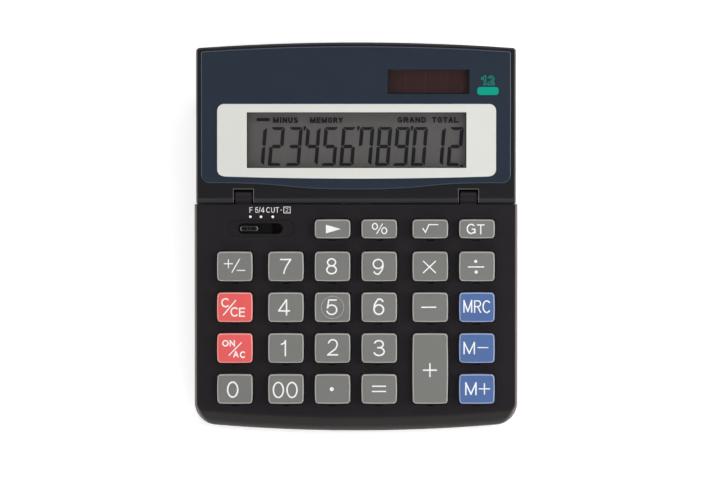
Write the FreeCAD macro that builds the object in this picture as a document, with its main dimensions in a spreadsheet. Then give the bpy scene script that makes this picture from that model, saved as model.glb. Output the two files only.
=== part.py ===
import FreeCAD, Part
import Sketcher
import math
import os

# Desktop calculator with a fold-up display head, in millimetres.
# The case frame has X across, Y from the front edge to the rear and Z up from the desk.
# The deck frame lies on the sloping keyboard surface: the same X, y up the slope, w square to it.

vector = FreeCAD.Vector
doc = FreeCAD.newDocument("DesktopCalculator")
sheet = doc.addObject("Spreadsheet::Sheet", "Sizes")

# Each size is a plain number of millimetres, or of degrees for an angle.
SIZES = [
    # case
    ("deck_slope", 5, "angle of the keyboard surface"),
    ("front_height", 14.5, "desk to the keyboard surface, at the front edge"),
    ("base_half_wide", 75.85, "half width of the base"),
    ("base_long", 167.5, "length of the base"),
    ("front_bow_radius", 800, "plan radius of the front edge"),
    ("front_corner_radius", 10.3, "plan radius of the front corners"),
    ("shoulder_place", 106.1, "side shoulders behind the keyboard, from the front edge"),
    ("shoulder_deep", 1.2, "depth of the side shoulders, hidden by the head"),
    ("rear_corner_radius", 10, "plan radius of the rear corners"),
    ("front_roll_radius", 8, "rounding of the front edge"),
    ("side_edge_radius", 1.5, "rounding of the side edges"),
    ("inner_edge_radius", 0.4, "rounding inside the side edges"),
    ("parting_height", 6, "desk to the joint of the two case halves"),
    ("wall", 2, "side walls of the base"),
    ("plate", 2.2, "keyboard plate"),
    ("cover_floor", 2, "floor of the bottom cover"),
    ("cover_edge_radius", 1.2, "rounding of the bottom cover's lower edge"),
    ("lap_height", 1.2, "lap of the bottom cover inside the top shell"),
    ("lap_thick", 0.9, "thickness of that lap"),
    ("lap_gap", 0.15, "clearance of that lap"),
    ("foot_height", 1.5, "rubber foot below the bottom cover"),
    ("foot_recess", 0.8, "depth of the seat of a rubber foot"),
    ("foot_radius", 4.5, "radius of a rubber foot"),
    ("foot_spread", 58, "rubber foot to the centre plane"),
    ("foot_front", 20, "front feet from the front edge"),
    ("foot_rear", 146, "rear feet from the front edge"),
    # keys
    ("first_column", -56.85, "centre of the left column"),
    ("column_pitch", 21.9, "pitch of the columns"),
    ("group_gap", 2.05, "extra space after the first and the fourth column"),
    ("first_row", 19.6, "centre of the front row"),
    ("row_pitch", 19.2, "pitch of the full rows"),
    ("top_row_step", 17.6, "step to the row of short keys"),
    ("key_wide", 16.7, "width of a key"),
    ("key_deep", 13.85, "depth of a key"),
    ("short_key_deep", 8.85, "depth of a key in the top row"),
    ("key_corner", 1.6, "corner radius of a key"),
    ("side_bulge", 0.25, "bulge of the sides of a key"),
    ("end_bulge", 0.15, "bulge of the front and back of a key"),
    ("key_rise", 4, "key top above the plate"),
    ("key_edge", 0.6, "rounding of the top of a key"),
    ("key_gap", 0.45, "clearance of a key in the plate"),
    ("key_wall", 1.3, "wall of a key"),
    ("key_roof", 1.5, "top of a key"),
    ("lip_gap", 0.1, "clearance of a key's lips under the plate"),
    ("lip_thick", 1.2, "thickness of a key's lips"),
    ("lip_reach", 1.2, "reach of a key's lips"),
    ("lip_inset", 1.6, "lip end inside the corner of a key"),
    ("stem_wide", 5, "square stem under a key"),
    ("notch_wide", 3.05, "guide notch in the plate"),
    ("notch_deep", 0.9, "depth of the guide notch"),
    ("guide_gap", 0.3, "clearance of a key's guide rib in its notch"),
    ("guide_drop", 1.5, "guide rib below the plate surface"),
    ("ring_radius", 5.5, "raised ring on the middle key"),
    ("ring_wide", 0.5, "width of that ring"),
    ("ring_rise", 0.25, "height of that ring"),
    # key board and its rubber sheet
    ("board_drop", 9.5, "plate surface to the top of the key board"),
    ("board_thick", 1.6, "key board"),
    ("board_front", 11.5, "front edge of the key board"),
    ("board_gap", 2, "key board to the walls"),
    ("board_corner", 2, "corner radius of the boards"),
    ("boss_radius", 2.5, "screw bosses at the sides"),
    ("slim_boss_radius", 1.8, "screw bosses between the keys"),
    ("side_boss_spread", 69.2, "side bosses to the centre plane"),
    ("sheet_thick", 1.2, "rubber key sheet"),
    ("sheet_half_wide", 66.3, "half width of the rubber key sheet"),
    ("sheet_rear_margin", 0.9, "rubber key sheet behind the short keys"),
    ("sheet_front_margin", 0.5, "key board in front of the rubber key sheet"),
    ("dome_rise", 2.1, "dome above the rubber key sheet"),
    ("dome_radius", 4.2, "foot of a dome"),
    ("dome_slope", 32, "slope of a dome's side"),
    ("dome_bore", 2, "hollow of a dome"),
    ("dome_roof", 0.8, "top of a dome"),
    # mode switch
    ("switch_place", -44.9, "centre of the switch recess from the centre plane"),
    ("switch_wide", 33.3, "length of the recess"),
    ("switch_deep", 9.5, "width of the recess"),
    ("switch_sink", 0.9, "depth of the recess"),
    ("switch_side_slope", 30, "slope of the recess's side"),
    ("slot_wide", 21, "length of the slot"),
    ("slot_deep", 5, "width of the slot"),
    ("ridge_start", -50.2, "centre of the thumb ridge at its left stop"),
    ("ridge_wide", 8.5, "length of the thumb ridge"),
    ("ridge_deep", 2.4, "width of the thumb ridge"),
    ("ridge_sink", 0.3, "top of the thumb ridge below the plate surface"),
    ("slider_half", 10.9, "half length of the slider"),
    ("slider_deep", 8, "width of the slider"),
    ("slider_thick", 1.2, "thickness of the slider"),
    ("slider_gap", 0.15, "clearance of the slider"),
    ("rail_wide", 1.2, "guide rails beside the slider"),
    ("rail_over", 0.5, "guide rails below the slider"),
    ("post_wide", 5, "post under the slider"),
    ("wiper_thick", 0.3, "spring wiper under the post"),
    ("wiper_wide", 3, "width of the wiper"),
    ("wiper_arch", 0.9, "height of the wiper's arch"),
    ("switch_travel", 10.6, "travel of the mode switch"),
    # hinge
    ("hinge_place", 109.7, "hinge axis from the front edge"),
    ("barrel_radius", 3.1, "hinge barrel and front roll of the head"),
    ("hinge_gap", 0.35, "head to the plate's rear edge"),
    ("hinge_spread", 52.8, "hinge knuckles to the centre plane"),
    ("knuckle_wide", 7.6, "width of a knuckle"),
    ("knuckle_gap", 0.8, "knuckle to the sides of its notch"),
    ("notch_rear_gap", 0.6, "knuckle to the back of its notch"),
    ("neck_thick", 3, "neck of a knuckle"),
    ("pin_radius", 1.2, "hinge pin"),
    ("pin_grip", 4, "hinge pin held in the head at each side"),
    ("pin_clearance", 0.05, "running fit of the pin in its knuckle"),
    # display head
    ("head_half_wide", 75, "half width of the head"),
    ("head_rear", 182.2, "rear edge of the head"),
    ("head_bow_radius", 1060, "plan radius of the rear edge"),
    ("head_corner_radius", 1.5, "plan radius of the rear corners"),
    ("head_rise", 2, "head above the keyboard surface when it is folded flat"),
    ("head_thick", 11.5, "thickness of the head"),
    ("head_edge_radius", 1, "rounding of the upper edges of the head"),
    ("head_under_radius", 2.2, "rounding of the lower rear edge"),
    ("head_rest_gap", 0.3, "head to the rear deck when it is folded flat"),
    ("head_wall", 1.8, "walls of the head"),
    ("head_floor", 1.8, "floor of the head's back cover"),
    ("rim_side", 2.2, "rim beside the lens"),
    ("rim_rear", 1.6, "rim behind the lens"),
    ("lens_thick", 1.5, "lens"),
    ("lens_gap", 0.12, "clearance around the lens"),
    ("lens_front", 113.25, "front edge of the lens at the centre"),
    ("wave_drop", 2.9, "front edge of the lens, sides behind the centre"),
    ("wave_inner", 6, "start of the wave in that edge from the centre plane"),
    ("wave_outer", 60, "end of the wave"),
    ("lens_front_corner", 4, "front corners of the lens"),
    ("lens_rear_corner", 1, "rear corners of the lens"),
    ("window_wide", 103, "display window"),
    ("window_deep", 26.1, "depth of the display window"),
    ("window_side", 0.3, "centre of the display window from the centre plane"),
    ("window_place", 136.45, "centre of the display window"),
    ("solar_wide", 37.9, "solar window"),
    ("solar_deep", 11.3, "depth of the solar window"),
    ("solar_side", 34.05, "centre of the solar window from the centre plane"),
    ("solar_place", 164, "centre of the solar window"),
    ("glass_thick", 1.1, "each glass of the display panel, and the solar cell"),
    ("panel_margin", 3.5, "display panel outside its window"),
    ("ledge", 4, "contact ledge of the display panel"),
    ("cell_margin", 1, "solar cell outside its window"),
    ("zebra_wide", 2, "conductive rubber strip"),
    ("zebra_margin", 3, "rubber strip inside the ends of the panel"),
    ("display_board_drop", 7.2, "top of the head to the display board"),
    ("display_board_thick", 1.2, "display board"),
    ("display_board_half", 62, "half width of the display board"),
    ("display_board_front", 119, "front edge of the display board"),
    ("display_board_rear", 171, "rear edge of the display board"),
    ("standoff_radius", 2.2, "standoffs under the display board"),
    ("standoff_inset", 6, "standoffs inside the corners of the display board"),
    ("chip_wide", 13, "sealed chip"),
    ("chip_thick", 0.8, "thickness of the sealed chip"),
    ("chip_place", 146, "centre of the sealed chip"),
    ("lead_radius", 0.5, "leads of the solar cell"),
    ("lead_inset", 3, "leads inside the ends of the solar cell"),
    ("head_boss_radius", 2.8, "screw bosses of the head"),
    ("head_boss_spread", 68.3, "head bosses to the centre plane"),
    ("head_boss_front", 121, "front bosses of the head"),
    ("head_boss_rear", 173, "rear bosses of the head"),
    ("front_hollow_half", 42, "half width of the hollow between the hinges"),
    # ribbon between the boards
    ("ribbon_wide", 14, "ribbon cable"),
    ("ribbon_thick", 0.3, "thickness of the ribbon cable"),
    ("ribbon_gap", 0.45, "ribbon cable to its slots"),
    ("ribbon_slot_drop", 8.3, "plate surface to the ribbon in the base's slot"),
    ("ribbon_land", 2.5, "length soldered to the key board"),
    ("ribbon_tuck", 3, "length soldered to the display board"),
    # screws
    ("screw_radius", 1.1, "screw shank"),
    ("screw_head_radius", 2, "screw head"),
    ("screw_head_thick", 1.3, "thickness of a screw head"),
    ("cross_wide", 0.6, "cross recess, width"),
    ("cross_reach", 1.2, "cross recess, reach"),
    ("cross_deep", 0.7, "cross recess, depth"),
    ("hole_clearance", 0.2, "clearance of screw holes and counterbores"),
    ("board_screw_long", 4.5, "board screw above the board's underside"),
    ("case_screw_long", 8, "case screw above its head"),
    ("case_boss_radius", 2.4, "case screw bosses in the top shell"),
    ("cover_boss_radius", 3.6, "case screw bosses in the bottom cover"),
    ("cover_boss_top", 5.8, "desk to the top of those bosses"),
    ("case_screw_spread", 62, "case screws to the centre plane"),
    ("case_screw_front", 8.6, "front case screws"),
    ("case_screw_rear", 157, "rear case screws"),
    ("case_screw_sink", 1.8, "case screw heads inside the bottom cover"),
    ("head_screw_long", 5, "head screw above its head"),
    # battery
    ("cell_radius", 5.8, "button cell"),
    ("cell_thick", 5.4, "thickness of the button cell"),
    ("cell_side", 38, "button cell from the centre plane"),
    ("cell_place", 153, "button cell from the front edge"),
    ("cell_gap", 0.3, "clearance round the button cell"),
    ("cup_wall", 1.3, "wall of the battery cup"),
    ("contact_thick", 0.3, "battery contacts"),
    ("contact_wide", 3, "width of the battery contacts"),
    ("contact_out", 4, "contact tab outside the cup"),
    ("contact_dimple", 0.5, "spring height of the upper contact"),
    ("door_half", 9, "half width of the battery door"),
    ("door_front", 144.5, "front edge of the battery door"),
    ("door_gap", 0.2, "clearance of the battery door"),
    ("door_tongue", 1.2, "guide tongues of the battery door"),
    ("door_tongue_thick", 0.9, "thickness of those tongues"),
    ("door_grip_depth", 0.5, "grip grooves under the battery door"),
    ("wire_radius", 0.6, "battery leads"),
    ("wire_bend", 1.8, "bend of the battery leads"),
]

for row, (alias, value, note) in enumerate(SIZES, start=1):
    sheet.set(f"A{row}", note)
    sheet.set(f"B{row}", str(value))
    sheet.setAlias(f"B{row}", alias)
doc.recompute()

# Sizes that follow from others, as expressions on the sheet.
HALF_LONG = (
    "((Sizes.head_rear * cos(Sizes.deck_slope)"
    " + (Sizes.head_thick - Sizes.head_rise) * sin(Sizes.deck_slope)) / 2)"
)
CASE_SEAT = f"placement(vector(0; -{HALF_LONG}; 0); rotation(vector(1; 0; 0); 0))"
DECK = "placement(vector(0; 0; Sizes.front_height); rotation(vector(1; 0; 0); Sizes.deck_slope))"
DECK_SEAT = f"{CASE_SEAT} * {DECK}"
DECK_SIDE = "placement(vector(0; Sizes.front_height; 0); rotation(vector(0; 0; 1); Sizes.deck_slope))"

BARREL_W = "(Sizes.head_rise - Sizes.barrel_radius)"
DECK_END = "(Sizes.hinge_place - Sizes.barrel_radius - Sizes.hinge_gap)"
REAR_DECK_W = "(Sizes.head_rise - Sizes.head_thick - Sizes.head_rest_gap)"
LIP_TOP_W = "(-Sizes.plate - Sizes.lip_gap)"
SKIRT_W = f"({LIP_TOP_W} - Sizes.lip_thick)"
SHEET_TOP_W = "(Sizes.sheet_thick - Sizes.board_drop)"
DOME_TOP_W = f"({SHEET_TOP_W} + Sizes.dome_rise)"
BOARD_UNDER_W = "(-Sizes.board_drop - Sizes.board_thick)"
BOARD_HALF = "(Sizes.base_half_wide - Sizes.wall - Sizes.board_gap)"
BOARD_REAR = f"({DECK_END} - Sizes.wall - Sizes.board_gap / 2)"
COVER_FLOOR_Z = "(Sizes.foot_height + Sizes.cover_floor)"

COLUMNS = [
    f"(Sizes.first_column + {step} * Sizes.column_pitch + {gaps} * Sizes.group_gap)"
    for step, gaps in ((0, 0), (1, 1), (2, 1), (3, 1), (4, 2), (5, 2))
]
FULL_ROWS = [f"(Sizes.first_row + {step} * Sizes.row_pitch)" for step in range(4)]
SHORT_ROW = f"({FULL_ROWS[3]} + Sizes.top_row_step)"
TALL_DEEP = "(Sizes.key_deep + Sizes.row_pitch)"
TALL_ROW = "(Sizes.first_row + Sizes.row_pitch / 2)"

# Every key: its name, column, row and depth.
KEYS = [
    (name, COLUMNS[column], FULL_ROWS[row], "Sizes.key_deep")
    for row, names in enumerate((
        ("0", "double_zero", "point", "equals", None, "memory_plus"),
        ("on_clear", "1", "2", "3", None, "memory_minus"),
        ("clear_entry", "4", "5", "6", "minus", "memory_recall"),
        ("sign", "7", "8", "9", "multiply", "divide"),
    ))
    for column, name in enumerate(names) if name
]
KEYS += [
    (name, COLUMNS[column], SHORT_ROW, "Sizes.short_key_deep")
    for column, name in ((2, "correct"), (3, "percent"), (4, "square_root"), (5, "grand_total"))
]
KEYS.append(("plus", COLUMNS[4], TALL_ROW, TALL_DEEP))

MIDDLE_X = f"(({COLUMNS[2]} + {COLUMNS[3]}) / 2)"
SIDE_BOSSES = [
    (f"({side} * Sizes.side_boss_spread)", place)
    for side in (-1, 1)
    for place in (FULL_ROWS[0], FULL_ROWS[2], SHORT_ROW)
]
SLIM_BOSSES = [
    (MIDDLE_X, f"(({FULL_ROWS[1]} + {FULL_ROWS[2]}) / 2)"),
    (MIDDLE_X, f"(({FULL_ROWS[3]} + {SHORT_ROW}) / 2 + (Sizes.key_deep - Sizes.short_key_deep) / 4)"),
]
CASE_SCREWS = [
    (f"({side} * Sizes.case_screw_spread)", place)
    for side in (-1, 1)
    for place in ("Sizes.case_screw_front", "Sizes.case_screw_rear")
]
FEET = [
    (f"({side} * Sizes.foot_spread)", place)
    for side in (-1, 1)
    for place in ("Sizes.foot_front", "Sizes.foot_rear")
]
HEAD_BOSSES = [
    (f"({side} * Sizes.head_boss_spread)", place)
    for side in (-1, 1)
    for place in ("Sizes.head_boss_front", "Sizes.head_boss_rear")
]

CLOSE = 0.01  # edges this near a height or a direction count as lying in it
nodes = []
waiting = {}


def number(expression):
    """The present value of an expression on the sheet."""
    value = sheet.evalExpression(expression)
    return float(getattr(value, "Value", value))


def new_body(label, seat=None):
    """A body. With a seat it is a sub-part in its own right, and its label names it."""
    body = doc.addObject("PartDesign::Body", label)
    body.Label = label
    if seat:
        body.setExpression("Placement", seat)
        nodes.append(body)
    return body


def sketch_on(body, name, role="XY_Plane", seat="", lift="0"):
    """A sketch on one of the body's own origin planes, moved by a seat and a lift."""
    sketch = body.newObject("Sketcher::SketchObject", f"{body.Name}_{name}")
    plane = [feature for feature in body.Origin.OriginFeatures if feature.Role == role][0]
    sketch.AttachmentSupport = (plane, "")
    sketch.MapMode = "FlatFace"
    rise = f"placement(vector(0; 0; {lift}); rotation(vector(0; 0; 1); 0))"
    sketch.setExpression("AttachmentOffset", f"{seat} * {rise}" if seat else rise)
    return sketch


def hold(sketch, kind, *references):
    """A geometric condition of a sketch."""
    waiting.setdefault(sketch.Name, []).append((Sketcher.Constraint(kind, *references), None))


def bind(sketch, kind, references, expression):
    """A dimension of a sketch, tied to an expression."""
    dimension = Sketcher.Constraint(kind, *references, number(expression))
    waiting.setdefault(sketch.Name, []).append((dimension, expression))


def settle(sketch):
    """Gives a sketch all the conditions and dimensions that wait for it."""
    rows = waiting.pop(sketch.Name)
    indices = sketch.addConstraint([constraint for constraint, _ in rows])
    for index, (_, expression) in zip(indices, rows):
        if expression:
            sketch.renameConstraint(index, f"size{index}")
            sketch.setExpression(f"Constraints.size{index}", expression)


def pin(sketch, geometry, point, across, along):
    """Ties a point's two coordinates."""
    bind(sketch, "DistanceX", (-1, 1, geometry, point), across)
    bind(sketch, "DistanceY", (-1, 1, geometry, point), along)


def polygon(sketch, corners):
    """A closed outline of straight lines."""
    places = [vector(number(across), number(along), 0) for across, along in corners]
    lines = [
        sketch.addGeometry(Part.LineSegment(place, places[(index + 1) % len(places)]))
        for index, place in enumerate(places)
    ]
    for index, line in enumerate(lines):
        following = lines[(index + 1) % len(lines)]
        hold(sketch, "Coincident", line, 2, following, 1)
        pin(sketch, line, 1, *corners[index])


def rectangle(sketch, across, along, wide, deep):
    """A rectangle about a centre."""
    left, right = f"{across} - {wide} / 2", f"{across} + {wide} / 2"
    low, high = f"{along} - {deep} / 2", f"{along} + {deep} / 2"
    polygon(sketch, [(left, low), (right, low), (right, high), (left, high)])


def circle(sketch, across, along, radius):
    """A circle."""
    centre = vector(number(across), number(along), 0)
    index = sketch.addGeometry(Part.Circle(centre, vector(0, 0, 1), number(radius)))
    pin(sketch, index, 3, across, along)
    bind(sketch, "Radius", (index,), radius)


def arc_between(sketch, centre, start, end):
    """The shorter arc about a centre from one point to another."""
    middle = (start - centre) + (end - centre)
    middle = centre + middle * ((start - centre).Length / middle.Length)
    return sketch.addGeometry(Part.Arc(start, middle, end))


def join(sketch, kind, edge, following):
    """Joins the nearest ends of two edges."""

    def apart(ends):
        return (sketch.getPoint(edge, ends[0]) - sketch.getPoint(following, ends[1])).Length

    first, second = min(((1, 1), (1, 2), (2, 1), (2, 2)), key=apart)
    hold(sketch, kind, edge, first, following, second)


def join_smoothly(sketch, edges):
    """Joins a closed run of edges end to end, each tangent to the next."""
    for edge, following in zip(edges, edges[1:] + edges[:1]):
        join(sketch, "Tangent", edge, following)


def obround(sketch, across, along, wide, deep):
    """A slot outline with round ends, its long side across."""
    radius = f"({deep} / 2)"
    reach = number(f"{wide} / 2 - {radius}")
    centre = vector(number(across), number(along), 0)
    step = vector(0, number(radius), 0)
    left, right = centre - vector(reach, 0, 0), centre + vector(reach, 0, 0)
    side = vector(number(radius), 0, 0)
    edges = [
        sketch.addGeometry(Part.LineSegment(left - step, right - step)),
        sketch.addGeometry(Part.Arc(right - step, right + side, right + step)),
        sketch.addGeometry(Part.LineSegment(right + step, left + step)),
        sketch.addGeometry(Part.Arc(left + step, left - side, left - step)),
    ]
    join_smoothly(sketch, edges)
    pin(sketch, edges[1], 3, f"{across} + {wide} / 2 - {radius}", along)
    pin(sketch, edges[3], 3, f"{across} - {wide} / 2 + {radius}", along)
    bind(sketch, "Radius", (edges[1],), radius)
    hold(sketch, "Equal", edges[1], edges[3])


def pillow(sketch, across, along, wide, deep, corner):
    """A rounded rectangle with slightly bulging sides, as wide and deep as it says."""
    side_radius = f"(({deep} / 2)^2 / (2 * Sizes.side_bulge) + Sizes.side_bulge / 2)"
    end_radius = f"(({wide} / 2)^2 / (2 * Sizes.end_bulge) + Sizes.end_bulge / 2)"
    middle = vector(number(across), number(along), 0)
    side, end, small = number(side_radius), number(end_radius), number(corner)
    half_wide, half_deep = number(wide) / 2, number(deep) / 2
    to_side, to_end = side - small, end - small
    # The corner's centre keeps its distance from the centres of both bulges.
    spot = vector(half_wide - small, half_deep - small, 0)
    for _ in range(20):
        spot.x = half_wide - side + math.sqrt(to_side ** 2 - spot.y ** 2)
        spot.y = half_deep - end + math.sqrt(to_end ** 2 - spot.x ** 2)
    right = vector(half_wide - side, 0, 0)
    top = vector(0, half_deep - end, 0)

    def quarter(sign_x, sign_y):
        turned = vector(spot.x * sign_x, spot.y * sign_y, 0)
        from_side = turned - vector(right.x * sign_x, 0, 0)
        from_end = turned - vector(0, top.y * sign_y, 0)
        on_side = turned + from_side * (small / from_side.Length)
        on_end = turned + from_end * (small / from_end.Length)
        return turned, on_side, on_end

    places = {signs: quarter(*signs) for signs in ((1, 1), (-1, 1), (-1, -1), (1, -1))}
    edges, centres = [], []
    run = [(1, -1), (1, 1), (-1, 1), (-1, -1)]
    for index, signs in enumerate(run):
        following = run[(index + 1) % 4]
        upright = index % 2 == 0
        which = 1 if upright else 2
        start, finish = places[signs][which], places[following][which]
        if upright:
            centre = vector(right.x * signs[0], 0, 0)
        else:
            centre = vector(0, top.y * signs[1], 0)
        edges.append(arc_between(sketch, middle + centre, middle + start, middle + finish))
        centres.append((signs, upright))
        turned, on_side, on_end = places[following]
        ends = (on_side, on_end) if upright else (on_end, on_side)
        edges.append(arc_between(sketch, middle + turned, middle + ends[0], middle + ends[1]))
    join_smoothly(sketch, edges)
    for index, (signs, upright) in enumerate(centres):
        bulge = edges[2 * index]
        if upright:
            pin(sketch, bulge, 3, f"{across} + {signs[0]} * ({wide} / 2 - {side_radius})", along)
            bind(sketch, "Radius", (bulge,), side_radius)
        else:
            pin(sketch, bulge, 3, across, f"{along} + {signs[1]} * ({deep} / 2 - {end_radius})")
            bind(sketch, "Radius", (bulge,), end_radius)
        bind(sketch, "Radius", (edges[2 * index + 1],), corner)


def extrude(body, kind, sketch, length, reverse=False, both=False, taper=None):
    """A pad or a pocket of a sketch. It checks that the solid really grew or shrank."""
    settle(sketch)
    before = 0 if body.Shape.isNull() else body.Shape.Volume
    feature = body.newObject(f"PartDesign::{kind}", f"{sketch.Name}_{kind}")
    feature.Profile = sketch
    feature.Reversed = reverse
    feature.SideType = "Symmetric" if both else "One side"
    if length == "through":
        feature.Type = "ThroughAll"
    else:
        feature.setExpression("Length", length)
    if taper:
        feature.setExpression("TaperAngle", taper)
    doc.recompute()
    sketch.Visibility = False
    change = body.Shape.Volume - before
    if (kind == "Pad") != (change > 0) or change == 0:
        raise ValueError(f"{feature.Name} changed the solid by {change:.2f}")
    return feature


def pad(body, sketch, length, **options):
    return extrude(body, "Pad", sketch, length, **options)


def pocket(body, sketch, length, **options):
    return extrude(body, "Pocket", sketch, length, **options)


def edge_names(body, wanted):
    """Names of the edges, in the body's own frame, for which a test holds."""
    names = []
    for index, edge in enumerate(body.Tip.Shape.Edges, start=1):
        middle = edge.valueAt((edge.FirstParameter + edge.LastParameter) / 2)
        if wanted(edge, middle):
            names.append(f"Edge{index}")
    return names


def fillet(body, edges, radius):
    """Rounds edges of the body's last feature."""
    base = body.Tip
    feature = body.newObject("PartDesign::Fillet", f"{base.Name}_Round")
    feature.Base = (base, edges)
    feature.setExpression("Radius", radius)
    doc.recompute()
    if "Invalid" in feature.State:
        raise ValueError(f"{feature.Name} can't round its edges")


def level_with(height):
    """A test for edges that lie flat at a height of the body's own frame."""
    return lambda edge, middle: abs(middle.z - height) < CLOSE and edge.BoundBox.ZLength < CLOSE


# The two halves of the base share one plan outline: a bowed front, straight sides that step in
# behind the keyboard, and a straight rear.


def base_outline(body, name, inset, lift):
    """The plan outline of the base, set in from the outside by an inset."""
    sketch = sketch_on(body, name, lift=lift)
    half = f"(Sizes.base_half_wide - {inset})"
    bow = f"(Sizes.front_bow_radius - {inset})"
    front = f"(Sizes.front_corner_radius - {inset})"
    back = f"(Sizes.rear_corner_radius - {inset})"
    rear = f"(Sizes.base_long - {inset})"
    front_x = f"({half} - {front})"
    front_y = f"(Sizes.front_bow_radius - sqrt(({bow} - {front})^2 - {front_x}^2))"
    rear_half = f"({half} - Sizes.shoulder_deep)"
    shoulder = f"(Sizes.shoulder_place - {inset})"
    back_x, back_y = f"({rear_half} - {back})", f"({rear} - {back})"

    bow_centre = vector(0, number("Sizes.front_bow_radius"), 0)
    front_centre = vector(number(front_x), number(front_y), 0)
    back_centre = vector(number(back_x), number(back_y), 0)
    outward = front_centre - bow_centre
    bow_end = front_centre + outward * (number(front) / outward.Length)
    side_low = front_centre + vector(number(front), 0, 0)
    step_out = vector(number(half), number(shoulder), 0)
    step_in = vector(number(rear_half), number(shoulder), 0)
    side_high = back_centre + vector(number(back), 0, 0)
    rear_end = back_centre + vector(0, number(back), 0)

    def mirrored(point):
        return vector(-point.x, point.y, 0)

    def line(start, end):
        return sketch.addGeometry(Part.LineSegment(start, end))

    front_run = [
        line(mirrored(step_out), mirrored(side_low)),
        arc_between(sketch, mirrored(front_centre), mirrored(side_low), mirrored(bow_end)),
        arc_between(sketch, bow_centre, mirrored(bow_end), bow_end),
        arc_between(sketch, front_centre, bow_end, side_low),
        line(side_low, step_out),
    ]
    rear_run = [
        line(step_in, side_high),
        arc_between(sketch, back_centre, side_high, rear_end),
        line(rear_end, mirrored(rear_end)),
        arc_between(sketch, mirrored(back_centre), mirrored(rear_end), mirrored(side_high)),
        line(mirrored(side_high), mirrored(step_in)),
    ]
    right_step = line(step_out, step_in)
    left_step = line(mirrored(step_in), mirrored(step_out))
    for run in (front_run, rear_run):
        for edge, following in zip(run, run[1:]):
            join(sketch, "Tangent", edge, following)
    round_trip = (front_run[-1], right_step, rear_run[0]), (rear_run[-1], left_step, front_run[0])
    for before, step, after in round_trip:
        join(sketch, "Coincident", before, step)
        join(sketch, "Coincident", step, after)
    pin(sketch, right_step, 1, half, shoulder)
    pin(sketch, right_step, 2, rear_half, shoulder)
    pin(sketch, left_step, 1, f"-{rear_half}", shoulder)
    pin(sketch, left_step, 2, f"-{half}", shoulder)
    pin(sketch, front_run[2], 3, "0", "Sizes.front_bow_radius")
    bind(sketch, "Radius", (front_run[2],), bow)
    pin(sketch, front_run[3], 3, front_x, front_y)
    bind(sketch, "DistanceX", (-1, 1, front_run[1], 3), f"-{front_x}")
    hold(sketch, "Equal", front_run[3], front_run[1])
    pin(sketch, rear_run[1], 3, back_x, back_y)
    pin(sketch, rear_run[3], 3, f"-{back_x}", back_y)
    bind(sketch, "Radius", (rear_run[1],), back)
    hold(sketch, "Equal", rear_run[1], rear_run[3])
    return sketch


def base_block(name, inset, lid, lift):
    """A solid of the base's outline under the sloping deck, its step and the rear deck."""
    body = new_body(name)
    outline = base_outline(body, "outline", inset, lift)
    pad(body, outline, "Sizes.front_height + Sizes.base_long")
    above = sketch_on(body, "above_deck", "YZ_Plane", DECK_SIDE)
    step = f"{DECK_END} - {inset}"
    beyond = "2 * Sizes.base_long"
    polygon(above, [
        (f"-{beyond}", f"-{lid}"), (step, f"-{lid}"), (step, f"{REAR_DECK_W} - {lid}"),
        (beyond, f"{REAR_DECK_W} - {lid}"), (beyond, beyond), (f"-{beyond}", beyond),
    ])
    pocket(body, above, "through", both=True)
    return body


def rolled_block(body, name, roll, side):
    """Rounds the deck's edge: a broad roll at the front that runs out into the side edges."""
    slope = math.radians(number("Sizes.deck_slope"))
    corner_low = number("Sizes.front_corner_radius")
    lid = body.Shape.BoundBox.ZMax
    rounds = []
    for index, edge in enumerate(body.Shape.Edges, start=1):
        middle = edge.valueAt((edge.FirstParameter + edge.LastParameter) / 2)
        start = edge.valueAt(edge.FirstParameter)
        deck = number("Sizes.front_height") + middle.y * math.tan(slope)
        near_deck = deck - number("Sizes.plate + Sizes.wall") < middle.z <= min(deck, lid) + CLOSE
        flat = abs(edge.BoundBox.ZLength - edge.BoundBox.YLength * math.tan(slope)) < CLOSE
        if not (near_deck and flat):
            continue
        if edge.BoundBox.XLength < CLOSE and edge.BoundBox.YLength > corner_low:
            rounds.append((index, side, side))
        elif abs(middle.x) < 1 and middle.y < corner_low:
            rounds.append((index, roll, roll))
        elif edge.BoundBox.YLength > 1 and middle.y < 2 * corner_low:
            rounds.append((index, roll, side) if start.y < middle.y else (index, side, roll))
    rounded = doc.addObject("Part::Fillet", name)
    rounded.Base = body
    rounded.Edges = rounds
    doc.recompute()
    return rounded


def neck_outline(body, label, lift):
    """The side outline of a hinge knuckle's neck."""
    sketch = sketch_on(body, f"neck_{label}", "YZ_Plane", DECK_SIDE, lift)
    root = f"{DECK_END} - Sizes.wall / 2"
    polygon(sketch, [
        (root, "-Sizes.neck_thick"), ("Sizes.hinge_place", "-Sizes.neck_thick"),
        ("Sizes.hinge_place", "0"), (root, "0"),
    ])
    return sketch


def add_knuckles(posts, cuts):
    """Two hinge knuckles behind the keyboard plate, with bores for the pins."""
    for side, label in ((-1, "left"), (1, "right")):
        lift = f"{side} * Sizes.hinge_spread"
        pad(posts, neck_outline(posts, label, lift), "Sizes.knuckle_wide", both=True)
        barrel = sketch_on(posts, f"barrel_{label}", "YZ_Plane", DECK_SIDE, lift)
        circle(barrel, "Sizes.hinge_place", BARREL_W, "Sizes.barrel_radius")
        pad(posts, barrel, "Sizes.knuckle_wide", both=True)
        bore = sketch_on(cuts, f"bore_{label}", "YZ_Plane", DECK_SIDE, lift)
        circle(bore, "Sizes.hinge_place", BARREL_W, "Sizes.pin_radius + Sizes.pin_clearance")
        pad(cuts, bore, "2 * Sizes.knuckle_wide", both=True)


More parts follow.
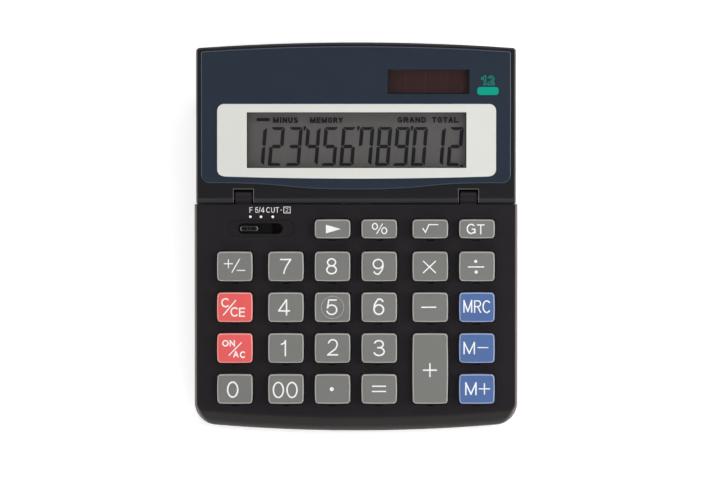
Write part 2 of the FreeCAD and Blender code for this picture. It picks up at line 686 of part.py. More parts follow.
def deck_punch(name, draw):
    """A punch through the keyboard plate, of the outline that a function draws."""
    sketch = doc.addObject("Sketcher::SketchObject", f"punch_{name}_outline")
    below = "placement(vector(0; 0; -2 * Sizes.plate); rotation(vector(0; 0; 1); 0))"
    sketch.setExpression("Placement", f"{DECK} * {below}")
    draw(sketch)
    settle(sketch)
    punch = doc.addObject("Part::Extrusion", f"punch_{name}")
    punch.Base = sketch
    punch.DirMode = "Normal"
    punch.Solid = True
    punch.setExpression("LengthFwd", "3 * Sizes.plate")
    return punch


def key_punches():
    """One punch for each key opening, and one for its guide notch at the front."""
    punches = []
    for name, across, along, deep in KEYS:
        punches.append(deck_punch(name, lambda sketch: pillow(
            sketch, across, along, "(Sizes.key_wide + 2 * Sizes.key_gap)",
            f"({deep} + 2 * Sizes.key_gap)", "(Sizes.key_corner + Sizes.key_gap)",
        )))
        punches.append(deck_punch(f"{name}_notch", lambda sketch: rectangle(
            sketch, across, f"{along} - {deep} / 2", "Sizes.notch_wide",
            "2 * (Sizes.key_gap + Sizes.notch_deep)",
        )))
    joined = doc.addObject("Part::MultiFuse", "key_punches")
    joined.Shapes = punches
    joined.Refine = False
    doc.recompute()
    return joined


def add_switch_window(posts, cuts):
    """The shallow recess of the mode switch, its slot and the rails under it."""
    recess = sketch_on(cuts, "switch_recess", seat=DECK)
    obround(recess, "Sizes.switch_place", SHORT_ROW, "Sizes.switch_wide", "Sizes.switch_deep")
    pad(cuts, recess, "Sizes.switch_sink", reverse=True, taper="-Sizes.switch_side_slope")
    slot = sketch_on(cuts, "switch_slot", seat=DECK, lift="-2 * Sizes.plate")
    obround(slot, "Sizes.switch_place", SHORT_ROW, "Sizes.slot_wide", "Sizes.slot_deep")
    pad(cuts, slot, "3 * Sizes.plate")
    rails = sketch_on(posts, "switch_rails", seat=DECK, lift="-Sizes.plate / 2")
    middle = "(Sizes.ridge_start + Sizes.switch_travel / 2)"
    for side in (-1, 1):
        offset = "((Sizes.slider_deep + Sizes.rail_wide) / 2 + Sizes.slider_gap)"
        rectangle(
            rails, middle, f"({SHORT_ROW} + {side} * {offset})",
            "(2 * Sizes.slider_half + Sizes.switch_travel)", "Sizes.rail_wide",
        )
    depth = "Sizes.plate / 2 + Sizes.slider_thick + Sizes.slider_gap + Sizes.rail_over"
    pad(posts, rails, depth, reverse=True)


def add_board_bosses(posts, cuts):
    """Posts from the plate down to the key board, with pilot holes for its screws."""
    bosses = sketch_on(posts, "board_posts", seat=DECK, lift="-Sizes.board_drop")
    for across, along in SIDE_BOSSES:
        circle(bosses, across, along, "Sizes.boss_radius")
    for across, along in SLIM_BOSSES:
        circle(bosses, across, along, "Sizes.slim_boss_radius")
    pad(posts, bosses, "Sizes.board_drop - Sizes.plate / 2")
    pilots = sketch_on(cuts, "board_pilots", seat=DECK, lift=BOARD_UNDER_W)
    for across, along in SIDE_BOSSES + SLIM_BOSSES:
        circle(pilots, across, along, "Sizes.screw_radius")
    pad(cuts, pilots, "Sizes.board_screw_long + Sizes.hole_clearance")


def add_case_bosses(posts, cuts):
    """Posts that take the four case screws."""
    for index, (across, along) in enumerate(CASE_SCREWS):
        post = sketch_on(posts, f"case_post_{index}", lift="Sizes.cover_boss_top")
        circle(post, across, along, "Sizes.case_boss_radius")
        ceiling = (
            f"Sizes.front_height + {along} * tan(Sizes.deck_slope) - Sizes.plate / 2"
            " - Sizes.cover_boss_top"
        )
        if along == "Sizes.case_screw_rear":
            ceiling += f" + {REAR_DECK_W}"
        pad(posts, post, ceiling)
    pilots = sketch_on(cuts, "case_pilots", lift="Sizes.foot_height")
    for across, along in CASE_SCREWS:
        circle(pilots, across, along, "Sizes.screw_radius")
    pad(cuts, pilots, "Sizes.case_screw_sink + Sizes.case_screw_long + Sizes.hole_clearance")


CELL_TOP_Z = f"({COVER_FLOOR_Z} + Sizes.door_gap + Sizes.cell_thick)"
CUP_ROOF_Z = f"({CELL_TOP_Z} + Sizes.contact_dimple + Sizes.contact_thick)"
CUP_BORE = "(Sizes.cell_radius + Sizes.cell_gap)"
CUP_RADIUS = f"({CUP_BORE} + Sizes.cup_wall)"


def add_battery_cup(posts, cuts):
    """A cup under the rear deck that holds the button cell above its door."""
    cup = sketch_on(posts, "battery_cup", lift=f"{COVER_FLOOR_Z} + 2 * Sizes.door_gap")
    circle(cup, "Sizes.cell_side", "Sizes.cell_place", CUP_RADIUS)
    height = (
        f"Sizes.front_height + Sizes.cell_place * tan(Sizes.deck_slope) + {REAR_DECK_W}"
        f" - Sizes.plate / 2 - ({COVER_FLOOR_Z} + 2 * Sizes.door_gap)"
    )
    pad(posts, cup, height)
    bore = sketch_on(cuts, "battery_bore", lift="Sizes.foot_height")
    circle(bore, "Sizes.cell_side", "Sizes.cell_place", CUP_BORE)
    pad(cuts, bore, f"{CUP_ROOF_Z} - Sizes.foot_height")
    wide = "(Sizes.contact_wide + 2 * Sizes.cell_gap)"
    out = f"({CUP_RADIUS} + Sizes.cup_wall)"
    slots = (
        ("front", "Sizes.cell_side", f"(Sizes.cell_place - {out} / 2)", wide, out),
        ("side", f"(Sizes.cell_side - {out} / 2)", "Sizes.cell_place", out, wide),
    )
    for label, *place in slots:
        slot = sketch_on(cuts, f"contact_slot_{label}", lift="Sizes.foot_height")
        rectangle(slot, *place)
        pad(cuts, slot, f"{CUP_ROOF_Z} - Sizes.foot_height")


def ribbon_slot(body, seat, place, depth, long):
    """The outline of a slot for the ribbon between the two boards, across the centre plane."""
    slot = sketch_on(body, "ribbon_slot", "YZ_Plane", seat)
    rectangle(slot, place, depth, long, "(Sizes.ribbon_thick + 2 * Sizes.ribbon_gap)")
    return slot


def make_base_top_shell():
    """Upper half of the base: an even shell with its openings, posts and knuckles."""
    outside = rolled_block(
        base_block("top_shell_outside", "0", "0", "Sizes.parting_height"),
        "top_shell_outside_rolled",
        number("Sizes.front_roll_radius"), number("Sizes.side_edge_radius"),
    )
    inside = rolled_block(
        base_block("top_shell_inside", "Sizes.wall", "Sizes.plate", "Sizes.parting_height - Sizes.wall"),
        "top_shell_inside_rolled",
        number("Sizes.front_roll_radius - Sizes.wall"), number("Sizes.inner_edge_radius"),
    )
    hollow = doc.addObject("Part::Cut", "top_shell_hollow")
    hollow.Base = outside
    hollow.Tool = inside
    posts = new_body("top_shell_posts")
    cuts = new_body("top_shell_cuts")
    add_knuckles(posts, cuts)
    add_board_bosses(posts, cuts)
    add_case_bosses(posts, cuts)
    add_battery_cup(posts, cuts)
    add_switch_window(posts, cuts)
    slot = ribbon_slot(
        cuts, DECK_SIDE, f"({DECK_END} - Sizes.wall / 2)", "-Sizes.ribbon_slot_drop", "2 * Sizes.wall"
    )
    pad(cuts, slot, "Sizes.ribbon_wide + 2 * Sizes.ribbon_gap", both=True)
    full = doc.addObject("Part::MultiFuse", "top_shell_full")
    full.Shapes = [hollow, posts]
    punches = doc.addObject("Part::Compound", "top_shell_punches")
    punches.Links = [cuts, key_punches()]
    shell = doc.addObject("Part::Cut", "base_top_shell")
    shell.Label = "base_top_shell"
    shell.Base = full
    shell.Tool = punches
    shell.setExpression("Placement", CASE_SEAT)
    nodes.append(shell)


DOOR_LONG = "(Sizes.base_long - Sizes.door_front)"
DOOR_MIDDLE = "((Sizes.base_long + Sizes.door_front) / 2)"


def make_base_bottom_cover():
    """Lower half of the base: a shallow tray with a lap, screw posts and a battery hatch."""
    cover = new_body("base_bottom_cover", CASE_SEAT)
    pad(
        cover, base_outline(cover, "outline", "0", "Sizes.foot_height"),
        "Sizes.parting_height - Sizes.foot_height",
    )
    fillet(cover, edge_names(cover, level_with(number("Sizes.foot_height"))), "Sizes.cover_edge_radius")
    pocket(
        cover, base_outline(cover, "inside", "Sizes.wall", "Sizes.parting_height"),
        f"Sizes.parting_height - {COVER_FLOOR_Z}",
    )
    lap = "(Sizes.wall + Sizes.lap_gap)"
    pad(
        cover, base_outline(cover, "lap", lap, COVER_FLOOR_Z),
        f"Sizes.parting_height + Sizes.lap_height - {COVER_FLOOR_Z}",
    )
    pocket(
        cover,
        base_outline(
            cover, "lap_inside", f"({lap} + Sizes.lap_thick)", "Sizes.parting_height + Sizes.lap_height"
        ),
        f"Sizes.parting_height + Sizes.lap_height - {COVER_FLOOR_Z}",
    )
    posts = sketch_on(cover, "screw_posts", lift="Sizes.foot_height")
    for across, along in CASE_SCREWS:
        circle(posts, across, along, "Sizes.cover_boss_radius")
    pad(cover, posts, "Sizes.cover_boss_top - Sizes.foot_height")
    wells = sketch_on(cover, "screw_wells", lift="Sizes.foot_height")
    for across, along in CASE_SCREWS:
        circle(wells, across, along, "Sizes.screw_head_radius + Sizes.hole_clearance")
    pocket(cover, wells, "Sizes.case_screw_sink", reverse=True)
    holes = sketch_on(cover, "screw_holes", lift="Sizes.foot_height")
    for across, along in CASE_SCREWS:
        circle(holes, across, along, "Sizes.screw_radius + Sizes.hole_clearance")
    pocket(cover, holes, "through", reverse=True)
    seats = sketch_on(cover, "foot_seats", lift="Sizes.foot_height")
    for across, along in FEET:
        circle(seats, across, along, "Sizes.foot_radius + Sizes.hole_clearance")
    pocket(cover, seats, "Sizes.foot_recess", reverse=True)
    hatch = sketch_on(cover, "hatch", lift="Sizes.foot_height")
    slack = "2 * Sizes.door_gap"
    rectangle(
        hatch, "Sizes.cell_side", f"({DOOR_MIDDLE} + Sizes.wall)", f"(2 * Sizes.door_half + {slack})",
        f"({DOOR_LONG} + 2 * Sizes.wall + {slack})",
    )
    pocket(cover, hatch, "through", reverse=True)
    grooves = sketch_on(
        cover, "door_grooves", lift=f"{COVER_FLOOR_Z} - Sizes.door_tongue_thick - Sizes.door_gap"
    )
    rectangle(
        grooves, "Sizes.cell_side", f"({DOOR_MIDDLE} + Sizes.wall)",
        f"(2 * (Sizes.door_half + Sizes.door_tongue) + {slack})",
        f"({DOOR_LONG} + 2 * Sizes.wall + {slack})",
    )
    pocket(cover, grooves, "Sizes.parting_height", reverse=True)


def make_battery_door():
    """Sliding door in the floor, with a tongue on each side and a lip in the rear wall."""
    door = new_body("battery_door", CASE_SEAT)
    plate = sketch_on(door, "plate", lift="Sizes.foot_height")
    rectangle(plate, "Sizes.cell_side", DOOR_MIDDLE, "2 * Sizes.door_half", DOOR_LONG)
    pad(door, plate, "Sizes.cover_floor")
    rear = number("Sizes.base_long")
    low = level_with(number("Sizes.foot_height"))
    rear_edge = edge_names(door, lambda edge, middle: low(edge, middle) and middle.y > rear - CLOSE)
    fillet(door, rear_edge, "Sizes.cover_floor - Sizes.door_tongue_thick")
    tongue_level = f"({COVER_FLOOR_Z} - Sizes.door_tongue_thick)"
    tongues = sketch_on(door, "tongues", lift=tongue_level)
    rectangle(
        tongues, "Sizes.cell_side", DOOR_MIDDLE,
        "2 * (Sizes.door_half + Sizes.door_tongue)", DOOR_LONG,
    )
    pad(door, tongues, "Sizes.door_tongue_thick")
    lip = sketch_on(door, "rear_lip", lift=tongue_level)
    rectangle(
        lip, "Sizes.cell_side", "(Sizes.base_long - Sizes.wall / 2)",
        "2 * (Sizes.door_half + Sizes.door_tongue)", "Sizes.wall",
    )
    pad(door, lip, f"Sizes.parting_height - Sizes.door_gap - {tongue_level}")
    grip = sketch_on(door, "grip_grooves", lift="Sizes.foot_height")
    for step in range(4):
        rectangle(
            grip, "Sizes.cell_side", f"({DOOR_MIDDLE} + ({step} - 3 / 2) * Sizes.wall)",
            "Sizes.door_half", "Sizes.wall / 2",
        )
    pocket(door, grip, "Sizes.door_grip_depth", reverse=True)


def make_feet():
    """Four rubber feet, set into the bottom cover."""
    feet = new_body("rubber_feet", CASE_SEAT)
    discs = sketch_on(feet, "discs")
    for across, along in FEET:
        circle(discs, across, along, "Sizes.foot_radius")
    pad(feet, discs, "Sizes.foot_height + Sizes.foot_recess")


def cross_recesses(body, places, lift, reverse):
    """A cross recess in each screw head."""
    arm, reach = "(Sizes.cross_wide / 2)", "Sizes.cross_reach"
    sketch = sketch_on(body, "cross_recesses", lift=lift)
    corners = [
        (arm, reach), (f"-{arm}", reach), (f"-{arm}", arm), (f"-{reach}", arm),
        (f"-{reach}", f"-{arm}"), (f"-{arm}", f"-{arm}"), (f"-{arm}", f"-{reach}"),
        (arm, f"-{reach}"), (arm, f"-{arm}"), (reach, f"-{arm}"), (reach, arm), (arm, arm),
    ]
    for across, along in places:
        polygon(sketch, [(f"{across} + {x}", f"{along} + {y}") for x, y in corners])
    pocket(body, sketch, "Sizes.cross_deep", reverse=reverse)


def make_screws(label, seat, places, seat_height, long):
    """A set of screws driven upwards, their heads against a seat."""
    screws = new_body(label, seat)
    heads = sketch_on(screws, "heads", lift=seat_height)
    shanks = sketch_on(screws, "shanks", lift=seat_height)
    for across, along in places:
        circle(heads, across, along, "Sizes.screw_head_radius")
        circle(shanks, across, along, "Sizes.screw_radius")
    pad(screws, heads, "Sizes.screw_head_thick", reverse=True)
    pad(screws, shanks, long)
    cross_recesses(screws, places, f"{seat_height} - Sizes.screw_head_thick", True)


def board_blank(label, seat, left, right, front, rear, top, thick):
    """A flat board with rounded corners, its top at a given height."""
    board = new_body(label, seat)
    blank = sketch_on(board, "blank", lift=top)
    polygon(blank, [(left, front), (right, front), (right, rear), (left, rear)])
    pad(board, blank, thick, reverse=True)
    upright = edge_names(board, lambda edge, middle: edge.BoundBox.ZLength > 0.1)
    fillet(board, upright, "Sizes.board_corner")
    return board


def make_key_board():
    """Circuit board under the keys, screwed to the posts of the top shell."""
    board = board_blank(
        "key_circuit_board", DECK_SEAT, f"-{BOARD_HALF}", BOARD_HALF, "Sizes.board_front",
        BOARD_REAR, "-Sizes.board_drop", "Sizes.board_thick",
    )
    holes = sketch_on(board, "screw_holes", lift="-Sizes.board_drop")
    for across, along in SIDE_BOSSES + SLIM_BOSSES:
        circle(holes, across, along, "Sizes.screw_radius + Sizes.hole_clearance")
    pocket(board, holes, "through")


def make_rubber_keypad():
    """One moulded rubber sheet with a collapsing dome under each key."""
    keypad = new_body("rubber_keypad", DECK_SEAT)
    blank = sketch_on(keypad, "blank", lift="-Sizes.board_drop")
    half, front = "Sizes.sheet_half_wide", "(Sizes.board_front + Sizes.sheet_front_margin)"
    rear = f"({SHORT_ROW} + Sizes.short_key_deep / 2 + Sizes.sheet_rear_margin)"
    step_x = f"({COLUMNS[2]} - Sizes.column_pitch / 2)"
    step_y = f"({FULL_ROWS[3]} + Sizes.row_pitch / 2)"
    polygon(blank, [
        (f"-{half}", front), (half, front), (half, rear), (step_x, rear), (step_x, step_y),
        (f"-{half}", step_y),
    ])
    pad(keypad, blank, "Sizes.sheet_thick")
    domes = sketch_on(keypad, "domes", lift=SHEET_TOP_W)
    for _, across, along, _ in KEYS:
        circle(domes, across, along, "Sizes.dome_radius")
    pad(keypad, domes, "Sizes.dome_rise", taper="-Sizes.dome_slope")
    hollows = sketch_on(keypad, "hollows", lift="-Sizes.board_drop")
    for _, across, along, _ in KEYS:
        circle(hollows, across, along, "Sizes.dome_bore")
    pocket(keypad, hollows, "Sizes.sheet_thick + Sizes.dome_rise - Sizes.dome_roof", reverse=True)
    holes = sketch_on(keypad, "post_holes", lift="-Sizes.board_drop")
    for across, along in SLIM_BOSSES:
        circle(holes, across, along, "Sizes.slim_boss_radius + Sizes.hole_clearance")
    pocket(keypad, holes, "through", reverse=True)


def make_key(name, across, along, deep):
    """A moulded key: hollow cap, stem to its dome, lips under the plate and a guide rib."""
    seat = f"{DECK_SEAT} * placement(vector({across}; {along}; 0); rotation(vector(0; 0; 1); 0))"
    key = new_body(f"key_{name}", seat)
    cap = sketch_on(key, "cap", lift=SKIRT_W)
    pillow(cap, "0", "0", "Sizes.key_wide", deep, "Sizes.key_corner")
    pad(key, cap, f"Sizes.key_rise - {SKIRT_W}")
    fillet(key, edge_names(key, level_with(number("Sizes.key_rise"))), "Sizes.key_edge")
    hollow = sketch_on(key, "hollow", lift=SKIRT_W)
    rectangle(
        hollow, "0", "0", "(Sizes.key_wide - 2 * Sizes.key_wall)", f"({deep} - 2 * Sizes.key_wall)"
    )
    pocket(key, hollow, f"Sizes.key_rise - Sizes.key_roof - {SKIRT_W}", reverse=True)
    stem = sketch_on(key, "stem", lift=DOME_TOP_W)
    rectangle(stem, "0", "0", "Sizes.stem_wide", "Sizes.stem_wide")
    pad(key, stem, f"Sizes.key_rise - Sizes.key_roof / 2 - {DOME_TOP_W}")
    lips = sketch_on(key, "lips", lift=SKIRT_W)
    reach = "(Sizes.lip_reach + Sizes.key_wall / 2)"
    for side in (-1, 1):
        rectangle(
            lips, "0", f"({side} * ({deep} / 2 + Sizes.lip_reach - {reach} / 2))",
            "(Sizes.key_wide - 2 * Sizes.lip_inset)", reach,
        )
    pad(key, lips, "Sizes.lip_thick")
    rib = sketch_on(key, "guide_rib", lift=SKIRT_W)
    rib_out = "(Sizes.key_gap + Sizes.notch_deep - Sizes.guide_gap)"
    rectangle(
        rib, "0", f"-({deep} / 2 + {rib_out} / 2 - Sizes.key_wall / 4)",
        "(Sizes.notch_wide - 2 * Sizes.guide_gap)", f"({rib_out} + Sizes.key_wall / 2)",
    )
    pad(key, rib, f"-Sizes.guide_drop - {SKIRT_W}")
    if name == "5":
        ring = sketch_on(key, "ring", lift="Sizes.key_rise")
        circle(ring, "0", "0", "Sizes.ring_radius")
        circle(ring, "0", "0", "Sizes.ring_radius - Sizes.ring_wide")
        pad(key, ring, "Sizes.ring_rise")


def make_switch():
    """Slider of the mode switch with its thumb ridge, and the wiper it carries."""
    knob = new_body("switch_knob", DECK_SEAT)
    top = "(-Sizes.plate - Sizes.slider_gap)"
    under = f"({top} - Sizes.slider_thick)"
    slider = sketch_on(knob, "slider", lift=top)
    obround(slider, "Sizes.ridge_start", SHORT_ROW, "(2 * Sizes.slider_half)", "Sizes.slider_deep")
    pad(knob, slider, "Sizes.slider_thick", reverse=True)
    ridge = sketch_on(knob, "ridge", lift=top)
    obround(ridge, "Sizes.ridge_start", SHORT_ROW, "Sizes.ridge_wide", "Sizes.ridge_deep")
    pad(knob, ridge, f"-Sizes.ridge_sink - {top}")
    post = sketch_on(knob, "post", lift=under)
    rectangle(post, "Sizes.ridge_start", SHORT_ROW, "Sizes.post_wide", "Sizes.post_wide")
    pad(knob, post, f"{under} + Sizes.board_drop - Sizes.wiper_arch", reverse=True)

    wiper = new_body("switch_wiper", DECK_SEAT)
    strip = sketch_on(wiper, "strip", "XZ_Plane", lift=f"-{SHORT_ROW}")
    low, high = "-Sizes.board_drop", "(Sizes.wiper_arch - Sizes.board_drop)"
    inner, outer = "Sizes.post_wide / 4", "Sizes.post_wide / 2"
    polygon(strip, [
        (f"Sizes.ridge_start - {outer}", low),
        (f"Sizes.ridge_start - {outer} + Sizes.wiper_thick", low),
        (f"Sizes.ridge_start - {inner}", f"{high} - Sizes.wiper_thick"),
        (f"Sizes.ridge_start + {inner}", f"{high} - Sizes.wiper_thick"),
        (f"Sizes.ridge_start + {outer} - Sizes.wiper_thick", low),
        (f"Sizes.ridge_start + {outer}", low),
        (f"Sizes.ridge_start + {inner}", high),
        (f"Sizes.ridge_start - {inner}", high),
    ])
    pad(wiper, strip, "Sizes.wiper_wide", both=True)


def make_battery():
    """Button cell with a spring contact above it, a strip at its side and two leads."""
    cell = new_body("button_cell", CASE_SEAT)
    disc = sketch_on(cell, "disc", lift=f"{COVER_FLOOR_Z} + Sizes.door_gap")
    circle(disc, "Sizes.cell_side", "Sizes.cell_place", "Sizes.cell_radius")
    pad(cell, disc, "Sizes.cell_thick")
    fillet(cell, edge_names(cell, level_with(number(CELL_TOP_Z))), "Sizes.cell_gap")

    tab = f"({CUP_RADIUS} + Sizes.contact_out)"
    upper = new_body("battery_contact_negative", CASE_SEAT)
    leaf = sketch_on(upper, "leaf", lift=f"{CUP_ROOF_Z} - Sizes.contact_thick")
    rectangle(
        leaf, "Sizes.cell_side", f"(Sizes.cell_place + Sizes.contact_wide / 2 - {tab} / 2)",
        "Sizes.contact_wide", f"({tab} + Sizes.contact_wide)",
    )
    pad(upper, leaf, "Sizes.contact_thick")
    dimple = sketch_on(upper, "dimple", lift=CELL_TOP_Z)
    circle(dimple, "Sizes.cell_side", "Sizes.cell_place", "Sizes.contact_wide / 2 - Sizes.contact_thick")
    pad(upper, dimple, "Sizes.contact_dimple")

    side = new_body("battery_contact_positive", CASE_SEAT)
    strip = sketch_on(side, "strip", lift=f"{COVER_FLOOR_Z} + 2 * Sizes.door_gap")
    rectangle(
        strip, "(Sizes.cell_side - Sizes.cell_radius - Sizes.contact_thick / 2)", "Sizes.cell_place",
        "Sizes.contact_thick", "Sizes.contact_wide",
    )
    pad(side, strip, f"{CUP_ROOF_Z} - {COVER_FLOOR_Z} - 2 * Sizes.door_gap")
    ear = sketch_on(side, "ear", lift=f"{CUP_ROOF_Z} - Sizes.contact_thick")
    out = f"({tab} - Sizes.cell_radius)"
    rectangle(
        ear, f"(Sizes.cell_side - Sizes.cell_radius - {out} / 2)", "Sizes.cell_place",
        out, "Sizes.contact_wide",
    )
    pad(side, ear, "Sizes.contact_thick")

    leads = new_body("battery_leads", CASE_SEAT)
    starts = (
        ("Sizes.cell_side", f"(Sizes.cell_place - {tab} + Sizes.wire_radius)"),
        (f"(Sizes.cell_side - {tab} + Sizes.wire_radius)", "Sizes.cell_place"),
    )
    for index, (across, start) in enumerate(starts):
        add_battery_lead(leads, index, across, start)


def add_battery_lead(leads, index, across, start):
    """One lead: forward from a contact tab, then up to the underside of the key board."""
    level = f"({CUP_ROOF_Z} - Sizes.contact_thick - Sizes.wire_radius)"
    end = (
        f"(({BOARD_REAR} - Sizes.ribbon_land) * cos(Sizes.deck_slope)"
        f" - {BOARD_UNDER_W} * sin(Sizes.deck_slope))"
    )
    top = (
        f"(Sizes.front_height + {BOARD_UNDER_W} * cos(Sizes.deck_slope)"
        f" + ({end} + {BOARD_UNDER_W} * sin(Sizes.deck_slope) - Sizes.wire_radius) * tan(Sizes.deck_slope))"
    )
    run = sketch_on(leads, f"route_{index}", "YZ_Plane", lift=across)
    bend, rise = number("Sizes.wire_bend"), number(level)
    corner = vector(number(end), rise, 0)
    first, last = vector(number(start), rise, 0), vector(number(end), number(top), 0)
    turn_low, turn_high = corner + vector(bend, 0, 0), corner + vector(0, bend, 0)
    edges = [
        run.addGeometry(Part.LineSegment(first, turn_low)),
        arc_between(run, corner + vector(bend, bend, 0), turn_low, turn_high),
        run.addGeometry(Part.LineSegment(turn_high, last)),
    ]
    join(run, "Tangent", edges[0], edges[1])
    join(run, "Tangent", edges[1], edges[2])
    pin(run, edges[0], 1, start, level)
    pin(run, edges[2], 2, end, top)
    pin(run, edges[1], 3, f"{end} + Sizes.wire_bend", f"{level} + Sizes.wire_bend")
    section = sketch_on(leads, f"section_{index}", "XZ_Plane", lift=f"-{start}")
    circle(section, across, level, "Sizes.wire_radius")
    settle(run)
    settle(section)
    pipe = leads.newObject("PartDesign::AdditivePipe", f"lead_{index}")
    pipe.Profile = section
    pipe.Spine = run
    doc.recompute()


# The head lies in the deck frame. Its own front edge is the upper half of the hinge barrel.


def head_outline(body, name, front, inset, lift):
    """The plan outline of the head: a straight front and sides, a bowed rear."""
    sketch = sketch_on(body, name, lift=lift)
    half = f"(Sizes.head_half_wide - {inset})"
    bow = f"(Sizes.head_bow_radius - {inset})"
    corner = "Sizes.head_corner_radius"
    bow_y = "(Sizes.head_rear - Sizes.head_bow_radius)"
    corner_x = f"({half} - {corner})"
    corner_y = f"({bow_y} + sqrt(({bow} - {corner})^2 - {corner_x}^2))"
    bow_centre = vector(0, number(bow_y), 0)
    corner_centre = vector(number(corner_x), number(corner_y), 0)
    outward = corner_centre - bow_centre
    bow_end = corner_centre + outward * (number(corner) / outward.Length)
    side_end = corner_centre + vector(number(corner), 0, 0)

    def mirrored(point):
        return vector(-point.x, point.y, 0)

    low_right = vector(number(half), number(front), 0)
    edges = [
        arc_between(sketch, bow_centre, mirrored(bow_end), bow_end),
        arc_between(sketch, corner_centre, bow_end, side_end),
        sketch.addGeometry(Part.LineSegment(side_end, low_right)),
        sketch.addGeometry(Part.LineSegment(low_right, mirrored(low_right))),
        sketch.addGeometry(Part.LineSegment(mirrored(low_right), mirrored(side_end))),
        arc_between(sketch, mirrored(corner_centre), mirrored(side_end), mirrored(bow_end)),
    ]
    kinds = ("Tangent", "Tangent", "Coincident", "Coincident", "Tangent", "Tangent")
    for kind, edge, following in zip(kinds, edges, edges[1:] + edges[:1]):
        join(sketch, kind, edge, following)
    pin(sketch, edges[3], 1, half, front)
    pin(sketch, edges[3], 2, f"-{half}", front)
    pin(sketch, edges[0], 3, "0", bow_y)
    bind(sketch, "Radius", (edges[0],), bow)
    pin(sketch, edges[1], 3, corner_x, corner_y)
    pin(sketch, edges[5], 3, f"-{corner_x}", corner_y)
    return sketch


HEAD_UNDER_W = "(Sizes.head_rise - Sizes.head_thick)"
HEAD_FLOOR_W = f"({HEAD_UNDER_W} + Sizes.head_floor)"
HEAD_FRONT = "(Sizes.hinge_place - Sizes.barrel_radius)"
NOTCH_REAR = "(Sizes.hinge_place + Sizes.barrel_radius + Sizes.notch_rear_gap)"
LENS_UNDER_W = "(Sizes.head_rise - Sizes.lens_thick)"
DISPLAY_BOARD_W = "(Sizes.head_rise - Sizes.display_board_drop)"
DISPLAY_BOARD_UNDER_W = f"({DISPLAY_BOARD_W} - Sizes.display_board_thick)"


def cut_hinge_notches(body, lift, length, reverse):
    """Room for the two knuckles in the front edge of the head."""
    notches = sketch_on(body, "hinge_notches", lift=lift)
    depth = f"({NOTCH_REAR} - {HEAD_FRONT} + Sizes.wall)"
    for side in (-1, 1):
        rectangle(
            notches, f"({side} * Sizes.hinge_spread)", f"({NOTCH_REAR} - {depth} / 2)",
            "(Sizes.knuckle_wide + 2 * Sizes.knuckle_gap)", depth,
        )
    pocket(body, notches, length, reverse=reverse)


def cut_pin_grooves(body):
    """Half-round seats for the hinge pins."""
    for side in (-1, 1):
        label = "left" if side < 0 else "right"
        groove = sketch_on(body, f"pin_seat_{label}", "YZ_Plane", lift=f"{side} * Sizes.hinge_spread")
        circle(groove, "Sizes.hinge_place", BARREL_W, "Sizes.pin_radius")
        pocket(body, groove, PIN_LONG, both=True)


PIN_LONG = "(Sizes.knuckle_wide + 2 * Sizes.knuckle_gap + 2 * Sizes.pin_grip)"


